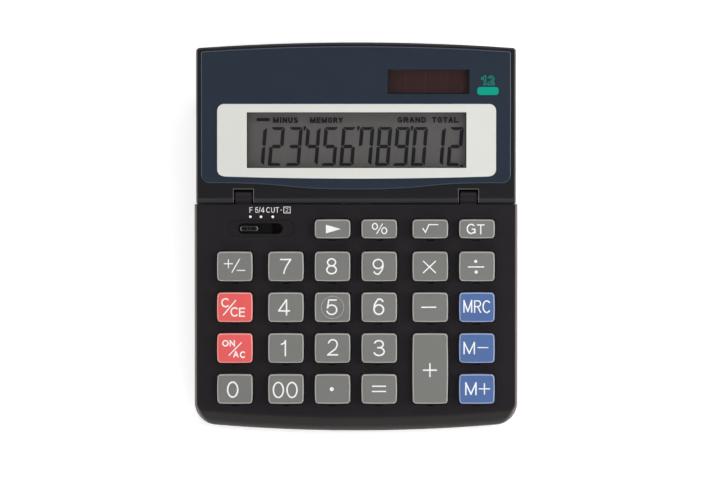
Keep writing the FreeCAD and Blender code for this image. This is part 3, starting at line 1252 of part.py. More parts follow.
def lens_outline(body, name, gap, lift):
    """The plan outline of the lens, grown by a gap: bowed rear, waved front."""
    sketch = sketch_on(body, name, lift=lift)
    half = f"(Sizes.head_half_wide - Sizes.rim_side + {gap})"
    bow = f"(Sizes.head_bow_radius - Sizes.rim_rear + {gap})"
    bow_y = "(Sizes.head_rear - Sizes.head_bow_radius)"
    rear_corner = f"(Sizes.lens_rear_corner + {gap})"
    rear_x = f"({half} - {rear_corner})"
    rear_y = f"({bow_y} + sqrt(({bow} - {rear_corner})^2 - {rear_x}^2))"
    front_corner = f"(Sizes.lens_front_corner + {gap})"
    low = f"(Sizes.lens_front - {gap})"
    high = f"({low} + Sizes.wave_drop)"
    wave = "(((Sizes.wave_outer - Sizes.wave_inner)^2 + Sizes.wave_drop^2) / (4 * Sizes.wave_drop))"
    front_x, front_y = f"({half} - {front_corner})", f"({high} + {front_corner})"
    bow_centre = vector(0, number(bow_y), 0)
    rear_centre = vector(number(rear_x), number(rear_y), 0)
    outward = rear_centre - bow_centre
    bow_end = rear_centre + outward * (number(rear_corner) / outward.Length)
    side_high = rear_centre + vector(number(rear_corner), 0, 0)
    front_centre = vector(number(front_x), number(front_y), 0)
    side_low = front_centre + vector(number(front_corner), 0, 0)
    front_end = front_centre - vector(0, number(front_corner), 0)
    wave_end = vector(number("Sizes.wave_outer"), number(high), 0)
    wave_start = vector(number("Sizes.wave_inner"), number(low), 0)
    turning = (wave_end + wave_start) * 0.5
    outer_centre = wave_end - vector(0, number(wave), 0)
    inner_centre = wave_start + vector(0, number(wave), 0)

    def mirrored(point):
        return vector(-point.x, point.y, 0)

    def line(start, end):
        return sketch.addGeometry(Part.LineSegment(start, end))

    edges = [
        arc_between(sketch, bow_centre, mirrored(bow_end), bow_end),
        arc_between(sketch, rear_centre, bow_end, side_high),
        line(side_high, side_low),
        arc_between(sketch, front_centre, side_low, front_end),
        line(front_end, wave_end),
        arc_between(sketch, outer_centre, wave_end, turning),
        arc_between(sketch, inner_centre, turning, wave_start),
        line(wave_start, mirrored(wave_start)),
        arc_between(sketch, mirrored(inner_centre), mirrored(wave_start), mirrored(turning)),
        arc_between(sketch, mirrored(outer_centre), mirrored(turning), mirrored(wave_end)),
        line(mirrored(wave_end), mirrored(front_end)),
        arc_between(sketch, mirrored(front_centre), mirrored(front_end), mirrored(side_low)),
        line(mirrored(side_low), mirrored(side_high)),
        arc_between(sketch, mirrored(rear_centre), mirrored(side_high), mirrored(bow_end)),
    ]
    join_smoothly(sketch, edges)
    pin(sketch, edges[0], 3, "0", bow_y)
    bind(sketch, "Radius", (edges[0],), bow)
    pin(sketch, edges[1], 3, rear_x, rear_y)
    pin(sketch, edges[3], 3, front_x, front_y)
    bind(sketch, "Radius", (edges[3],), front_corner)
    pin(sketch, edges[5], 3, "Sizes.wave_outer", f"{high} - {wave}")
    bind(sketch, "Radius", (edges[5],), wave)
    pin(sketch, edges[6], 3, "Sizes.wave_inner", f"{low} + {wave}")
    pin(sketch, edges[8], 3, "-Sizes.wave_inner", f"{low} + {wave}")
    pin(sketch, edges[9], 3, "-Sizes.wave_outer", f"{high} - {wave}")
    hold(sketch, "Equal", edges[6], edges[8])
    pin(sketch, edges[11], 3, f"-{front_x}", front_y)
    hold(sketch, "Equal", edges[3], edges[11])
    bind(sketch, "DistanceX", (-1, 1, edges[13], 3), f"-{rear_x}")
    hold(sketch, "Equal", edges[1], edges[13])
    return sketch


def make_display_bezel():
    """Upper half of the head: a rim round the lens and a seat plate with two windows."""
    bezel = new_body("display_bezel", DECK_SEAT)
    pad(
        bezel, head_outline(bezel, "outline", HEAD_FRONT, "0", BARREL_W),
        f"Sizes.head_rise - {BARREL_W}",
    )
    roll = sketch_on(bezel, "front_roll", "YZ_Plane")
    quarter_outside(roll)
    pocket(bezel, roll, "through", both=True)
    top = number("Sizes.head_rise")
    rim = edge_names(
        bezel,
        lambda edge, middle: level_with(top)(edge, middle) and middle.y > number("Sizes.hinge_place") + 1,
    )
    fillet(bezel, rim, "Sizes.head_edge_radius")
    pocket(bezel, lens_outline(bezel, "lens_seat", "Sizes.lens_gap", "Sizes.head_rise"), "Sizes.lens_thick")
    windows = sketch_on(bezel, "windows", lift="Sizes.head_rise")
    rectangle(windows, "Sizes.window_side", "Sizes.window_place", "Sizes.window_wide", "Sizes.window_deep")
    rectangle(windows, "Sizes.solar_side", "Sizes.solar_place", "Sizes.solar_wide", "Sizes.solar_deep")
    pocket(bezel, windows, "through")
    posts = sketch_on(bezel, "screw_posts", lift=BARREL_W)
    for across, along in HEAD_BOSSES:
        circle(posts, across, along, "Sizes.head_boss_radius")
    pad(bezel, posts, f"{BARREL_W} - {DISPLAY_BOARD_UNDER_W}", reverse=True)
    pilots = sketch_on(bezel, "screw_pilots", lift=DISPLAY_BOARD_UNDER_W)
    for across, along in HEAD_BOSSES:
        circle(pilots, across, along, "Sizes.screw_radius")
    pocket(bezel, pilots, "Sizes.head_screw_long", reverse=True)
    cut_hinge_notches(bezel, "Sizes.head_rise", "through", False)
    cut_pin_grooves(bezel)


def quarter_outside(sketch):
    """The corner outside the upper front quarter of the barrel."""
    radius, place, axis = "Sizes.barrel_radius", "Sizes.hinge_place", BARREL_W
    centre = vector(number(place), number(axis), 0)
    size = number(radius)
    front, top = centre - vector(size, 0, 0), centre + vector(0, size, 0)
    corner = vector(front.x - size, top.y + size, 0)
    low, high = vector(corner.x, front.y, 0), vector(top.x, corner.y, 0)
    round_edge = arc_between(sketch, centre, front, top)
    lines = [
        sketch.addGeometry(Part.LineSegment(start, end))
        for start, end in ((top, high), (high, corner), (corner, low), (low, front))
    ]
    for edge, following in zip(lines, lines[1:] + [round_edge]):
        join(sketch, "Coincident", edge, following)
    join(sketch, "Coincident", round_edge, lines[0])
    pin(sketch, lines[0], 1, place, f"{axis} + {radius}")
    pin(sketch, lines[0], 2, place, f"{axis} + 2 * {radius}")
    pin(sketch, lines[1], 2, f"{place} - 2 * {radius}", f"{axis} + 2 * {radius}")
    pin(sketch, lines[2], 2, f"{place} - 2 * {radius}", axis)
    pin(sketch, lines[3], 2, f"{place} - {radius}", axis)
    bind(sketch, "Radius", (round_edge,), radius)


def make_display_back_cover():
    """Lower half of the head: a tray whose front is cut back at 45 degrees below the hinge."""
    cover = new_body("display_back_cover", DECK_SEAT)
    pad(
        cover, head_outline(cover, "outline", HEAD_FRONT, "0", HEAD_UNDER_W),
        f"{BARREL_W} - {HEAD_UNDER_W}",
    )
    slant = "(Sizes.barrel_radius * sqrt(2))"
    drop = f"({BARREL_W} - {HEAD_UNDER_W})"
    below = sketch_on(cover, "cut_back", "YZ_Plane")
    # The 45 degree face touches the barrel, so it passes this far from the hinge axis.
    eighth_outside(below, drop, slant)
    pocket(cover, below, "through", both=True)
    under = number(HEAD_UNDER_W)
    rim = edge_names(
        cover,
        lambda edge, middle: level_with(under)(edge, middle) and middle.y > number(NOTCH_REAR) + 2,
    )
    fillet(cover, rim, "Sizes.head_under_radius")
    inside = head_outline(cover, "inside", f"({NOTCH_REAR} + Sizes.head_wall)", "Sizes.head_wall", BARREL_W)
    pocket(cover, inside, f"{BARREL_W} - {HEAD_FLOOR_W}")
    hollow = sketch_on(cover, "front_hollow", "YZ_Plane")
    inner = f"({slant} - Sizes.head_wall * sqrt(2))"
    polygon(hollow, [
        (f"Sizes.hinge_place - {inner}", BARREL_W),
        (f"{NOTCH_REAR} + 2 * Sizes.head_wall", BARREL_W),
        (f"{NOTCH_REAR} + 2 * Sizes.head_wall", HEAD_FLOOR_W),
        (f"Sizes.hinge_place - {inner} + {BARREL_W} - {HEAD_FLOOR_W}", HEAD_FLOOR_W),
    ])
    pocket(cover, hollow, "2 * Sizes.front_hollow_half", both=True)
    feet = sketch_on(cover, "standoffs", lift=HEAD_FLOOR_W)
    for side in (-1, 1):
        for place in (
            "Sizes.display_board_front + Sizes.standoff_inset",
            "Sizes.display_board_rear - Sizes.standoff_inset",
        ):
            circle(
                feet, f"{side} * (Sizes.display_board_half - Sizes.standoff_inset)", place,
                "Sizes.standoff_radius",
            )
    pad(cover, feet, f"{DISPLAY_BOARD_UNDER_W} - {HEAD_FLOOR_W}")
    posts = sketch_on(cover, "screw_posts", lift=HEAD_FLOOR_W)
    for across, along in HEAD_BOSSES:
        circle(posts, across, along, "Sizes.head_boss_radius")
    pad(cover, posts, f"{DISPLAY_BOARD_UNDER_W} - {HEAD_FLOOR_W}")
    wells = sketch_on(cover, "screw_wells", lift=HEAD_UNDER_W)
    holes = sketch_on(cover, "screw_holes", lift=HEAD_UNDER_W)
    for across, along in HEAD_BOSSES:
        circle(wells, across, along, "Sizes.screw_head_radius + Sizes.hole_clearance")
        circle(holes, across, along, "Sizes.screw_radius + Sizes.hole_clearance")
    pocket(cover, wells, "Sizes.screw_head_thick + Sizes.hole_clearance", reverse=True)
    pocket(cover, holes, "through", reverse=True)
    cut_hinge_notches(cover, BARREL_W, "through", False)
    cut_pin_grooves(cover)
    slot = ribbon_slot(
        cover, "", "Sizes.hinge_place", f"({DISPLAY_BOARD_UNDER_W} - Sizes.ribbon_thick / 2)",
        "4 * Sizes.barrel_radius",
    )
    pocket(cover, slot, "Sizes.ribbon_wide + 2 * Sizes.ribbon_gap", both=True)


def eighth_outside(sketch, drop, slant):
    """The corner outside the lower front eighth of the barrel and the 45 degree face below it."""
    radius, place, axis = "Sizes.barrel_radius", "Sizes.hinge_place", BARREL_W
    centre = vector(number(place), number(axis), 0)
    size = number(radius)
    front = centre - vector(size, 0, 0)
    touch = centre - vector(size, size, 0) * (1 / math.sqrt(2))
    heel = (f"{place} - {slant} + {drop} + {radius}", f"{axis} - {drop} - {radius}")
    far = (f"{place} - 3 * {radius}", heel[1])
    up = (far[0], axis)
    corners = [touch] + [vector(number(x), number(y), 0) for x, y in (heel, far, up)] + [front]
    lines = [
        sketch.addGeometry(Part.LineSegment(start, end)) for start, end in zip(corners, corners[1:])
    ]
    round_edge = arc_between(sketch, centre, front, touch)
    for edge, following in zip(lines, lines[1:] + [round_edge]):
        join(sketch, "Coincident", edge, following)
    join(sketch, "Coincident", round_edge, lines[0])
    pin(sketch, lines[0], 1, f"{place} - {radius} / sqrt(2)", f"{axis} - {radius} / sqrt(2)")
    pin(sketch, lines[0], 2, *heel)
    pin(sketch, lines[1], 2, *far)
    pin(sketch, lines[2], 2, *up)
    pin(sketch, lines[3], 2, f"{place} - {radius}", axis)
    bind(sketch, "Radius", (round_edge,), radius)


def make_hinge_pins():
    """A steel pin through each knuckle."""
    for side, label in ((-1, "left"), (1, "right")):
        pin_body = new_body(f"{label}_hinge_pin", DECK_SEAT)
        section = sketch_on(pin_body, "section", "YZ_Plane", lift=f"{side} * Sizes.hinge_spread")
        circle(section, "Sizes.hinge_place", BARREL_W, "Sizes.pin_radius")
        pad(pin_body, section, PIN_LONG, both=True)


def make_display_stack():
    """Lens, display panel, rubber strip, display board, chip and solar cell."""
    lens = new_body("display_lens", DECK_SEAT)
    pad(lens, lens_outline(lens, "outline", "0", LENS_UNDER_W), "Sizes.lens_thick")
    fillet(lens, edge_names(lens, level_with(number("Sizes.head_rise"))), "Sizes.lens_gap * 2")

    panel = new_body("lcd_panel", DECK_SEAT)
    wide = "(Sizes.window_wide + 2 * Sizes.panel_margin)"
    front = "(Sizes.window_place - Sizes.window_deep / 2 - Sizes.panel_margin)"
    rear = "(Sizes.window_place + Sizes.window_deep / 2 + Sizes.panel_margin)"
    left, right = f"(Sizes.window_side - {wide} / 2)", f"(Sizes.window_side + {wide} / 2)"
    upper = sketch_on(panel, "upper_glass", lift=BARREL_W)
    polygon(upper, [
        (left, front), (right, front), (right, f"{rear} + Sizes.ledge"), (left, f"{rear} + Sizes.ledge"),
    ])
    pad(panel, upper, "Sizes.glass_thick", reverse=True)
    lower = sketch_on(panel, "lower_glass", lift=f"{BARREL_W} - Sizes.glass_thick")
    polygon(lower, [(left, front), (right, front), (right, rear), (left, rear)])
    pad(panel, lower, "Sizes.glass_thick", reverse=True)

    strip = new_body("zebra_strip", DECK_SEAT)
    bar = sketch_on(strip, "bar", lift=DISPLAY_BOARD_W)
    rectangle(
        bar, "Sizes.window_side", f"({rear} + Sizes.ledge / 2)", f"({wide} - 2 * Sizes.zebra_margin)",
        "Sizes.zebra_wide",
    )
    pad(strip, bar, f"{BARREL_W} - Sizes.glass_thick - {DISPLAY_BOARD_W}")

    board_blank(
        "display_board", DECK_SEAT, "-Sizes.display_board_half", "Sizes.display_board_half",
        "Sizes.display_board_front", "Sizes.display_board_rear", DISPLAY_BOARD_W,
        "Sizes.display_board_thick",
    )

    chip = new_body("calculator_chip", DECK_SEAT)
    blob = sketch_on(chip, "blob", lift=DISPLAY_BOARD_UNDER_W)
    circle(blob, "0", "Sizes.chip_place", "Sizes.chip_wide / 2")
    pad(chip, blob, "Sizes.chip_thick", reverse=True, taper="-Sizes.dome_slope")

    cell = new_body("solar_cell", DECK_SEAT)
    pane = sketch_on(cell, "pane", lift=BARREL_W)
    rectangle(
        pane, "Sizes.solar_side", "Sizes.solar_place", "(Sizes.solar_wide + 2 * Sizes.cell_margin)",
        "(Sizes.solar_deep + 2 * Sizes.cell_margin)",
    )
    pad(cell, pane, "Sizes.glass_thick", reverse=True)

    leads = new_body("solar_leads", DECK_SEAT)
    wires = sketch_on(leads, "wires", lift=DISPLAY_BOARD_W)
    for side in (-1, 1):
        circle(
            wires, f"(Sizes.solar_side + {side} * (Sizes.solar_wide / 2 - Sizes.lead_inset))",
            "Sizes.solar_place", "Sizes.lead_radius",
        )
    pad(leads, wires, f"{BARREL_W} - Sizes.glass_thick - {DISPLAY_BOARD_W}")


def make_ribbon_cable():
    """Flat cable from the key board through the hinge gap to the display board."""
    ribbon = new_body("ribbon_cable", DECK_SEAT)
    half = "Sizes.ribbon_thick / 2"
    low = f"(-Sizes.board_drop + {half})"
    slot = "(-Sizes.ribbon_slot_drop)"
    high = f"({DISPLAY_BOARD_UNDER_W} - {half})"
    rise = f"({slot} - {low})"
    middle = [
        (f"({BOARD_REAR} - Sizes.ribbon_land)", low),
        (BOARD_REAR, low),
        (f"({BOARD_REAR} + {rise})", slot),
        (f"({DECK_END} + Sizes.hinge_gap)", slot),
        (f"({DECK_END} + Sizes.hinge_gap + {high} - {slot})", high),
        ("(Sizes.display_board_front + Sizes.ribbon_tuck)", high),
    ]
    profile = sketch_on(ribbon, "profile", "YZ_Plane")
    under = [(along, f"({depth} - {half})") for along, depth in middle]
    over = [(along, f"({depth} + {half})") for along, depth in reversed(middle)]
    polygon(profile, under + over)
    pad(ribbon, profile, "Sizes.ribbon_wide", both=True)


make_base_top_shell()
make_base_bottom_cover()
make_battery_door()
make_feet()
make_key_board()
make_rubber_keypad()
for key in KEYS:
    make_key(*key)
make_switch()
make_battery()
make_display_bezel()
make_display_back_cover()
make_hinge_pins()
make_display_stack()
make_ribbon_cable()
make_screws(
    "board_screws", DECK_SEAT, SIDE_BOSSES + SLIM_BOSSES, BOARD_UNDER_W, "Sizes.board_screw_long"
)
make_screws(
    "base_screws", CASE_SEAT, CASE_SCREWS, "Sizes.foot_height + Sizes.case_screw_sink",
    "Sizes.case_screw_long",
)
make_screws(
    "display_screws", DECK_SEAT, HEAD_BOSSES,
    f"{HEAD_UNDER_W} + Sizes.screw_head_thick + Sizes.hole_clearance", "Sizes.head_screw_long",
)
doc.recompute()

faulty = [item.Name for item in doc.Objects if {"Invalid", "Error"} & set(item.State)]
if faulty:
    raise ValueError(f"not built: {faulty}")
for node in nodes:
    if node.Shape.isNull() or not node.Shape.isValid():
        raise ValueError(f"{node.Label} has no valid shape")

os.makedirs("parts", exist_ok=True)
for node in nodes:
    node.Shape.exportStep(f"parts/{node.Label}.step")
    box = node.Shape.BoundBox
    print(
        f"{node.Label}: {len(node.Shape.Solids)} solids, {node.Shape.Volume:.1f} mm3,"
        f" Z {box.ZMin:.2f} to {box.ZMax:.2f}"
    )
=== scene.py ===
# %% [markdown]
# # A desktop calculator, dressed for a picture
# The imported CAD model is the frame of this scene. Its solids have the real shapes, so most of them only
# get a finish here. What CAD leaves out is added as thin pieces: the printing behind the lens, the digits
# of the display, the legends on the keys and the marks beside the switch.

# %% The frame
import bpy
import math
from mathutils import Matrix, Vector, geometry


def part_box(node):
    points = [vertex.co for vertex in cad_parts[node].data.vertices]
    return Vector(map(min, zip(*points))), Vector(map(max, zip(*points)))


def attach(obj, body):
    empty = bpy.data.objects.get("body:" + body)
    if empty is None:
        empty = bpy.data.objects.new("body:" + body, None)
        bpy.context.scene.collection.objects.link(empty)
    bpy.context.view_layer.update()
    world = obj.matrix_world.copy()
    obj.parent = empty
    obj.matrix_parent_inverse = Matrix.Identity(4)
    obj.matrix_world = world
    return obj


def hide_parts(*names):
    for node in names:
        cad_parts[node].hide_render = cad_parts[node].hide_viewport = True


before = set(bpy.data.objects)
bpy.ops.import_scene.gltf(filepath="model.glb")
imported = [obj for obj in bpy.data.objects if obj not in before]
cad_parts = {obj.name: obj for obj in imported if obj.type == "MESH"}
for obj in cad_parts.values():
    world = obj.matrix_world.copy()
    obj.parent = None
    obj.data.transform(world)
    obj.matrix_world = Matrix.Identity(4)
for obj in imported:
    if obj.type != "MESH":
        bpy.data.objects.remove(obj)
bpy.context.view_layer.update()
MM = 0.001

# %% [markdown]
# ## Where things are
# The keyboard and the folded display head share one sloping plane, the deck. It starts at the front edge,
# 14.5 mm above the desk, and rises at 5 degrees. Pieces are drawn flat in the deck's own millimetres, x
# across and y up the slope, and one matrix puts them in place. The third number is the height above it.
# Numbers without a unit are millimetres.

# %% The deck
DECK_HEIGHT, DECK_SLOPE = 14.5, math.radians(5)
KEY_TOP, HEAD_TOP, LENS_THICK, PANEL_TOP = 4.0, 2.0, 1.5, -1.1
FRONT_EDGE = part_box("base_bottom_cover")[0].y
DECK = (
    Matrix.Translation((0, FRONT_EDGE, DECK_HEIGHT * MM))
    @ Matrix.Rotation(DECK_SLOPE, 4, "X")
    @ Matrix.Scale(MM, 4)
)
DECK_UP = tuple(DECK.to_3x3().normalized() @ Vector((0, 0, 1)))
print("front edge of the case at y =", round(FRONT_EDGE, 4), "m")

# %% [markdown]
# ## Colours
# A colour is written as the sRGB hex value that the eye sees. Blender mixes light in linear values, so
# one function turns each of the three channels.

# %% Linear colours


def linear(code):
    """A linear RGBA colour from an sRGB hex value."""
    channels = [int(code[i:i + 2], 16) / 255 for i in (0, 2, 4)]
    return [c / 12.92 if c <= 0.04045 else ((c + 0.055) / 1.055) ** 2.4 for c in channels] + [1.0]


print("mid grey 7F7F7F is", round(linear("7F7F7F")[0], 3), "in linear light")

# %% [markdown]
# ## Materials from nodes
# Each finish is a small tree of nodes. One function adds a node with its settings and its links, and one
# starts a tree with a Principled shader. Sockets can be named or numbered. Values that are the same all
# over a surface are set on the shader itself, so that they also reach an exported model.

# %% Node helpers


def feed(tree, node, **values):
    """Set a node's settings (lower case) and its inputs. A node as a value stands for its live output."""
    for name, value in values.items():
        if name[0].islower():
            setattr(node, name, value)
            continue
        socket = node.inputs[int(name[1:]) if name[0] == "_" else name.replace("_", " ")]
        if isinstance(value, bpy.types.Node):
            value = next(output for output in value.outputs if output.enabled)
        if isinstance(value, bpy.types.NodeSocket):
            tree.links.new(value, socket)
        else:
            socket.default_value = value
    return node


def add(tree, kind, **values):
    """A new node with its settings and inputs."""
    return feed(tree, tree.nodes.new("ShaderNode" + kind), **values)


def finish(name, **values):
    """A material with a Principled shader, its tree and the shader."""
    material = bpy.data.materials.new(name)
    material.use_nodes = True
    tree = material.node_tree
    return material, tree, feed(tree, tree.nodes["Principled BSDF"], **values)


print("three helpers for materials")

# %% [markdown]
# ## Moulded plastic
# The case, the keys and the head are injection-moulded ABS. Its tool was spark-eroded, which leaves a
# fine even grain of about 0.15 mm, too fine to show at this size, so it is drawn at 0.35 mm. ABS has
# an index of refraction near 1.54. Colour drifts a little over the large walls. Where a moulded edge
# turns away from the deck, a painted highlight makes it a shade lighter, for the light that round edges
# catch. That tone could be painted on each piece. Here the angle of the surface gives it, so one recipe
# serves all.

# %% Masks for plastic
RIM_FLAT, RIM_TURNED = 0.9995, 0.965
LEAN_FROM, LEAN_FULL, UP_FROM, UP_FULL, OUTER_EDGE = 0.25, 0.55, 0.02, 0.15, 70.0
SHADE = 0.05


def painted_highlight_mask(tree, place, upward, plain):
    """Painted highlight where a surface turns from the deck. Behind a line across the deck, it can be left
    out.
    """
    rim = add(
        tree, "MapRange", interpolation_type="SMOOTHSTEP", Value=upward, _1=RIM_FLAT, _2=RIM_TURNED,
    )
    if not plain:
        return rim
    along = add(tree, "SeparateXYZ", Vector=place).outputs["Y"]
    in_front = add(tree, "Math", operation="LESS_THAN", _0=along, _1=FRONT_EDGE + plain * MM)
    return add(tree, "Math", operation="MULTIPLY", _0=rim, _1=in_front)


def painted_side_light_mask(tree, place, normal, upward):
    """Painted side light, where a surface is on the round upper edge at the object's left or right side."""
    leaning, outward = (
        add(tree, "Math", operation="ABSOLUTE", _0=add(tree, "SeparateXYZ", Vector=vector).outputs["X"])
        for vector in (normal, place)
    )
    tilted = add(tree, "MapRange", Value=leaning, _1=LEAN_FROM, _2=LEAN_FULL)
    above = add(tree, "MapRange", Value=upward, _1=UP_FROM, _2=UP_FULL)
    outermost = add(tree, "Math", operation="GREATER_THAN", _0=outward, _1=OUTER_EDGE * MM)
    mask = add(tree, "Math", operation="MULTIPLY", _0=tilted, _1=above)
    return add(tree, "Math", operation="MULTIPLY", _0=mask, _1=outermost)


def depth_mask(tree, place, low):
    """From full light at a depth under the deck to shade at twice that depth."""
    height = add(tree, "VectorMath", operation="DOT_PRODUCT", _0=place, _1=DECK_UP)
    plane = DECK.translation.dot(Vector(DECK_UP))
    return add(
        tree, "MapRange", interpolation_type="SMOOTHSTEP",
        Value=height, _1=plane - 2 * low * MM, _2=plane - low * MM, _3=SHADE,
    )


print("three masks for plastic")

# %% Plastic recipe
GRAIN, CLOUD_SCALE, CLOUD_LOW, CLOUD_HIGH = 0.35, 35, 0.3, 0.7


def moulded(
    name, colour, edge, roughness, gloss=0.5, depth=0.012, drift=0.06, plain=None, low=None, side_light=None,
):
    """Grained ABS of one colour, with a painted highlight where the surface turns away from the deck.

    The edge colour is that highlight, and it can end at a line across the deck. Painted shade below a
    depth and painted side light on the outer flanks are optional.
    """
    material, tree, shader = finish(name, Roughness=roughness, IOR=1.54, Specular_IOR_Level=gloss)
    place = add(tree, "TexCoord").outputs["Object"]
    cloud = add(tree, "TexNoise", Vector=place, Scale=CLOUD_SCALE, Detail=3)
    level = add(tree, "MapRange", Value=cloud, _1=CLOUD_LOW, _2=CLOUD_HIGH, _3=1 - drift, _4=1 + drift)
    normal = add(tree, "NewGeometry").outputs["Normal"]
    upward = add(tree, "VectorMath", operation="DOT_PRODUCT", _0=normal, _1=DECK_UP)
    rim = painted_highlight_mask(tree, place, upward, plain)
    tone = add(tree, "Mix", data_type="RGBA", Factor=rim, _6=linear(colour), _7=linear(edge))
    if side_light:
        side = painted_side_light_mask(tree, place, normal, upward)
        tone = add(tree, "Mix", data_type="RGBA", Factor=side, _6=tone, _7=linear(side_light))
    if low:
        level = add(tree, "Math", operation="MULTIPLY", _0=level, _1=depth_mask(tree, place, low))
    drifted = add(tree, "VectorMath", operation="SCALE", _0=tone, Scale=level)
    grain = add(tree, "TexNoise", Vector=place, Scale=1 / (GRAIN * MM), Detail=2)
    relief = add(tree, "Bump", Height=grain, Distance=depth * MM, Strength=0.6)
    feed(tree, shader, Base_Color=drifted, Normal=relief)
    return material


print("grain drawn at", GRAIN, "mm")

# %% [markdown]
# ## The plastics of this calculator
# The case and the head are a nearly black, rather matt ABS, so their gloss is low. Behind 103 mm the case
# lies in the head's shade, so there it gets no painted edge highlight. The keys are smoother, with painted
# shade below the plate.

# %% Plastics
CASE_FEEL = {"roughness": 0.5, "gloss": 0.15}
KEY_FEEL = {"roughness": 0.36, "depth": 0.006, "drift": 0.03, "low": 0.5}
# The second colour of each plastic is its painted edge highlight. The flank colour is painted side light.
case_abs = moulded("abs_black_case", "211E21", "2F2C2B", plain=103, side_light="857E7A", **CASE_FEEL)
head_abs = moulded("abs_black_head", "1C1B1E", "343234", side_light="6A6462", **CASE_FEEL)
key_grey = moulded("abs_grey_keys", "7C7C79", "B4B2AD", **KEY_FEEL)
key_red = moulded("abs_red_keys", "EE6160", "F6A8A3", **KEY_FEEL)
key_blue = moulded("abs_blue_keys", "526FA5", "A4B1D4", **KEY_FEEL)
# The slider is black ABS, made darker than the case as painted shade in the switch slot.
slider_abs = moulded("abs_black_slider", "0C0B0C", "6E6D6B", 0.35, gloss=0.2, depth=0.004)
print("six plastics")

# %% [markdown]
# ## Metal and mottled materials
# Bright metal has fine scratches, which change how rough it is from place to place. Ink, film and rubber
# are never quite one colour: a soft noise mixes two close tones, stretched where a surface has a direction.
# Rubber and the strips of painted highlight and shade get a little relief from the same noise.

# %% Metal and mottled recipes


def metal(name, colour, roughness, scale):
    """Bright metal with fine scratches."""
    material, tree, shader = finish(name, Metallic=1.0, Base_Color=linear(colour), Roughness=roughness)
    place = add(tree, "TexCoord").outputs["Object"]
    along = add(tree, "Mapping", Vector=place, Scale=(scale, scale, scale * 8))
    noise = add(tree, "TexNoise", Vector=along, Scale=1, Detail=3)
    low, high = roughness - 0.08, roughness + 0.1
    rough = add(tree, "MapRange", Value=noise, _1=CLOUD_LOW, _2=CLOUD_HIGH, _3=low, _4=high)
    relief = add(tree, "Bump", Height=noise, Distance=0.01 * MM, Strength=0.4)
    feed(tree, shader, Roughness=rough, Normal=relief)
    return material


def mottled(name, dark, light, scale, detail=2, stretch=None, **values):
    """A finish that drifts between two tones, with its tree, its shader and its noise."""
    material, tree, shader = finish(name, **values)
    place = add(tree, "TexCoord").outputs["Object"]
    if stretch:
        place = add(tree, "Mapping", Vector=place, Scale=stretch)
    noise = add(tree, "TexNoise", Vector=place, Scale=scale, Detail=detail)
    mix = add(tree, "Mix", data_type="RGBA", Factor=noise, _6=linear(dark), _7=linear(light))
    feed(tree, shader, Base_Color=mix)
    return material, tree, shader, noise


def soft(name, dark, light, roughness, scale):
    """Rubber, and strips of painted highlight and shade: mottled, with a little relief."""
    material, tree, shader, noise = mottled(
        name, dark, light, scale, detail=4, Roughness=roughness, IOR=1.52,
    )
    feed(tree, shader, Normal=add(tree, "Bump", Height=noise, Distance=0.02 * MM, Strength=0.5))
    return material


print("three more recipes")

# %% [markdown]
# ## Flat pieces
# Print, film and glass are flat, so they start as outlines. They could be curves with a fill, but a mesh
# can be checked and exported as it is. A plate is an outline with holes, given a small thickness: its top
# is filled by Blender's polygon tessellator, which knows holes, and a wall is drawn round each edge. It
# rides on a CAD body, so it moves with the joint.

# %% Outlines


def arc(x, y, wide, deep, start, end, steps=12):
    """Points along an ellipse, angles in degrees."""
    turns = [math.radians(start + (end - start) * i / steps) for i in range(steps + 1)]
    return [(x + wide * math.cos(t), y + deep * math.sin(t)) for t in turns]


def disc(x, y, radius, corners=24):
    """A round outline."""
    return arc(x, y, radius, radius, 0, 360 - 360 / corners, corners - 1)


def rounded(x, y, wide, deep, corner):
    """A rectangle with round corners about a centre."""
    loop = []
    for sign_x, sign_y, start in ((1, 1, 0), (-1, 1, 90), (-1, -1, 180), (1, -1, 270)):
        loop += arc(
            x + sign_x * (wide / 2 - corner), y + sign_y * (deep / 2 - corner), corner, corner,
            start, start + 90, 6,
        )
    return loop


def box_loop(x, y, wide, deep):
    """A rectangle about a centre."""
    return [(x + a * wide / 2, y + b * deep / 2) for a, b in ((-1, -1), (1, -1), (1, 1), (-1, 1))]


def obround(x, y, wide, deep):
    """A slot outline with round ends."""
    reach = (wide - deep) / 2
    return arc(x + reach, y, deep / 2, deep / 2, -90, 90) + arc(x - reach, y, deep / 2, deep / 2, 90, 270)


def signed_area(loop):
    """Area of a closed outline, positive where it runs anticlockwise."""
    return sum(a[0] * b[1] - b[0] * a[1] for a, b in zip(loop, loop[1:] + loop[:1])) / 2


print("a disc of 24 corners and 1 mm radius covers", round(signed_area(disc(0, 0, 1)), 2), "square mm")

# %% Plates


def put(name, data):
    """A new object in the scene."""
    thing = bpy.data.objects.new(name, data)
    bpy.context.scene.collection.objects.link(thing)
    return thing


def place_piece(name, points, faces, material, body):
    """An object from deck millimetres, riding on a body."""
    mesh = bpy.data.meshes.new(name)
    mesh.from_pydata([DECK @ Vector(point) for point in points], [], faces)
    mesh.materials.append(material)
    mesh.validate()
    piece = put(name, mesh)
    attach(piece, body)
    return piece


def filled(loops, start):
    """Triangles that fill an outline and spare its holes, facing up, with corners numbered from a start."""
    rings = [[Vector((x, y, 0)) for x, y in loop] for loop in loops]
    flat = [corner for ring in rings for corner in ring]
    faces = []
    for triangle in geometry.tessellate_polygon(rings):
        a, b, c = (flat[corner] for corner in triangle)
        if (b - a).cross(c - a).z < 0:
            triangle = triangle[::-1]
        faces.append([start + corner for corner in triangle])
    return faces


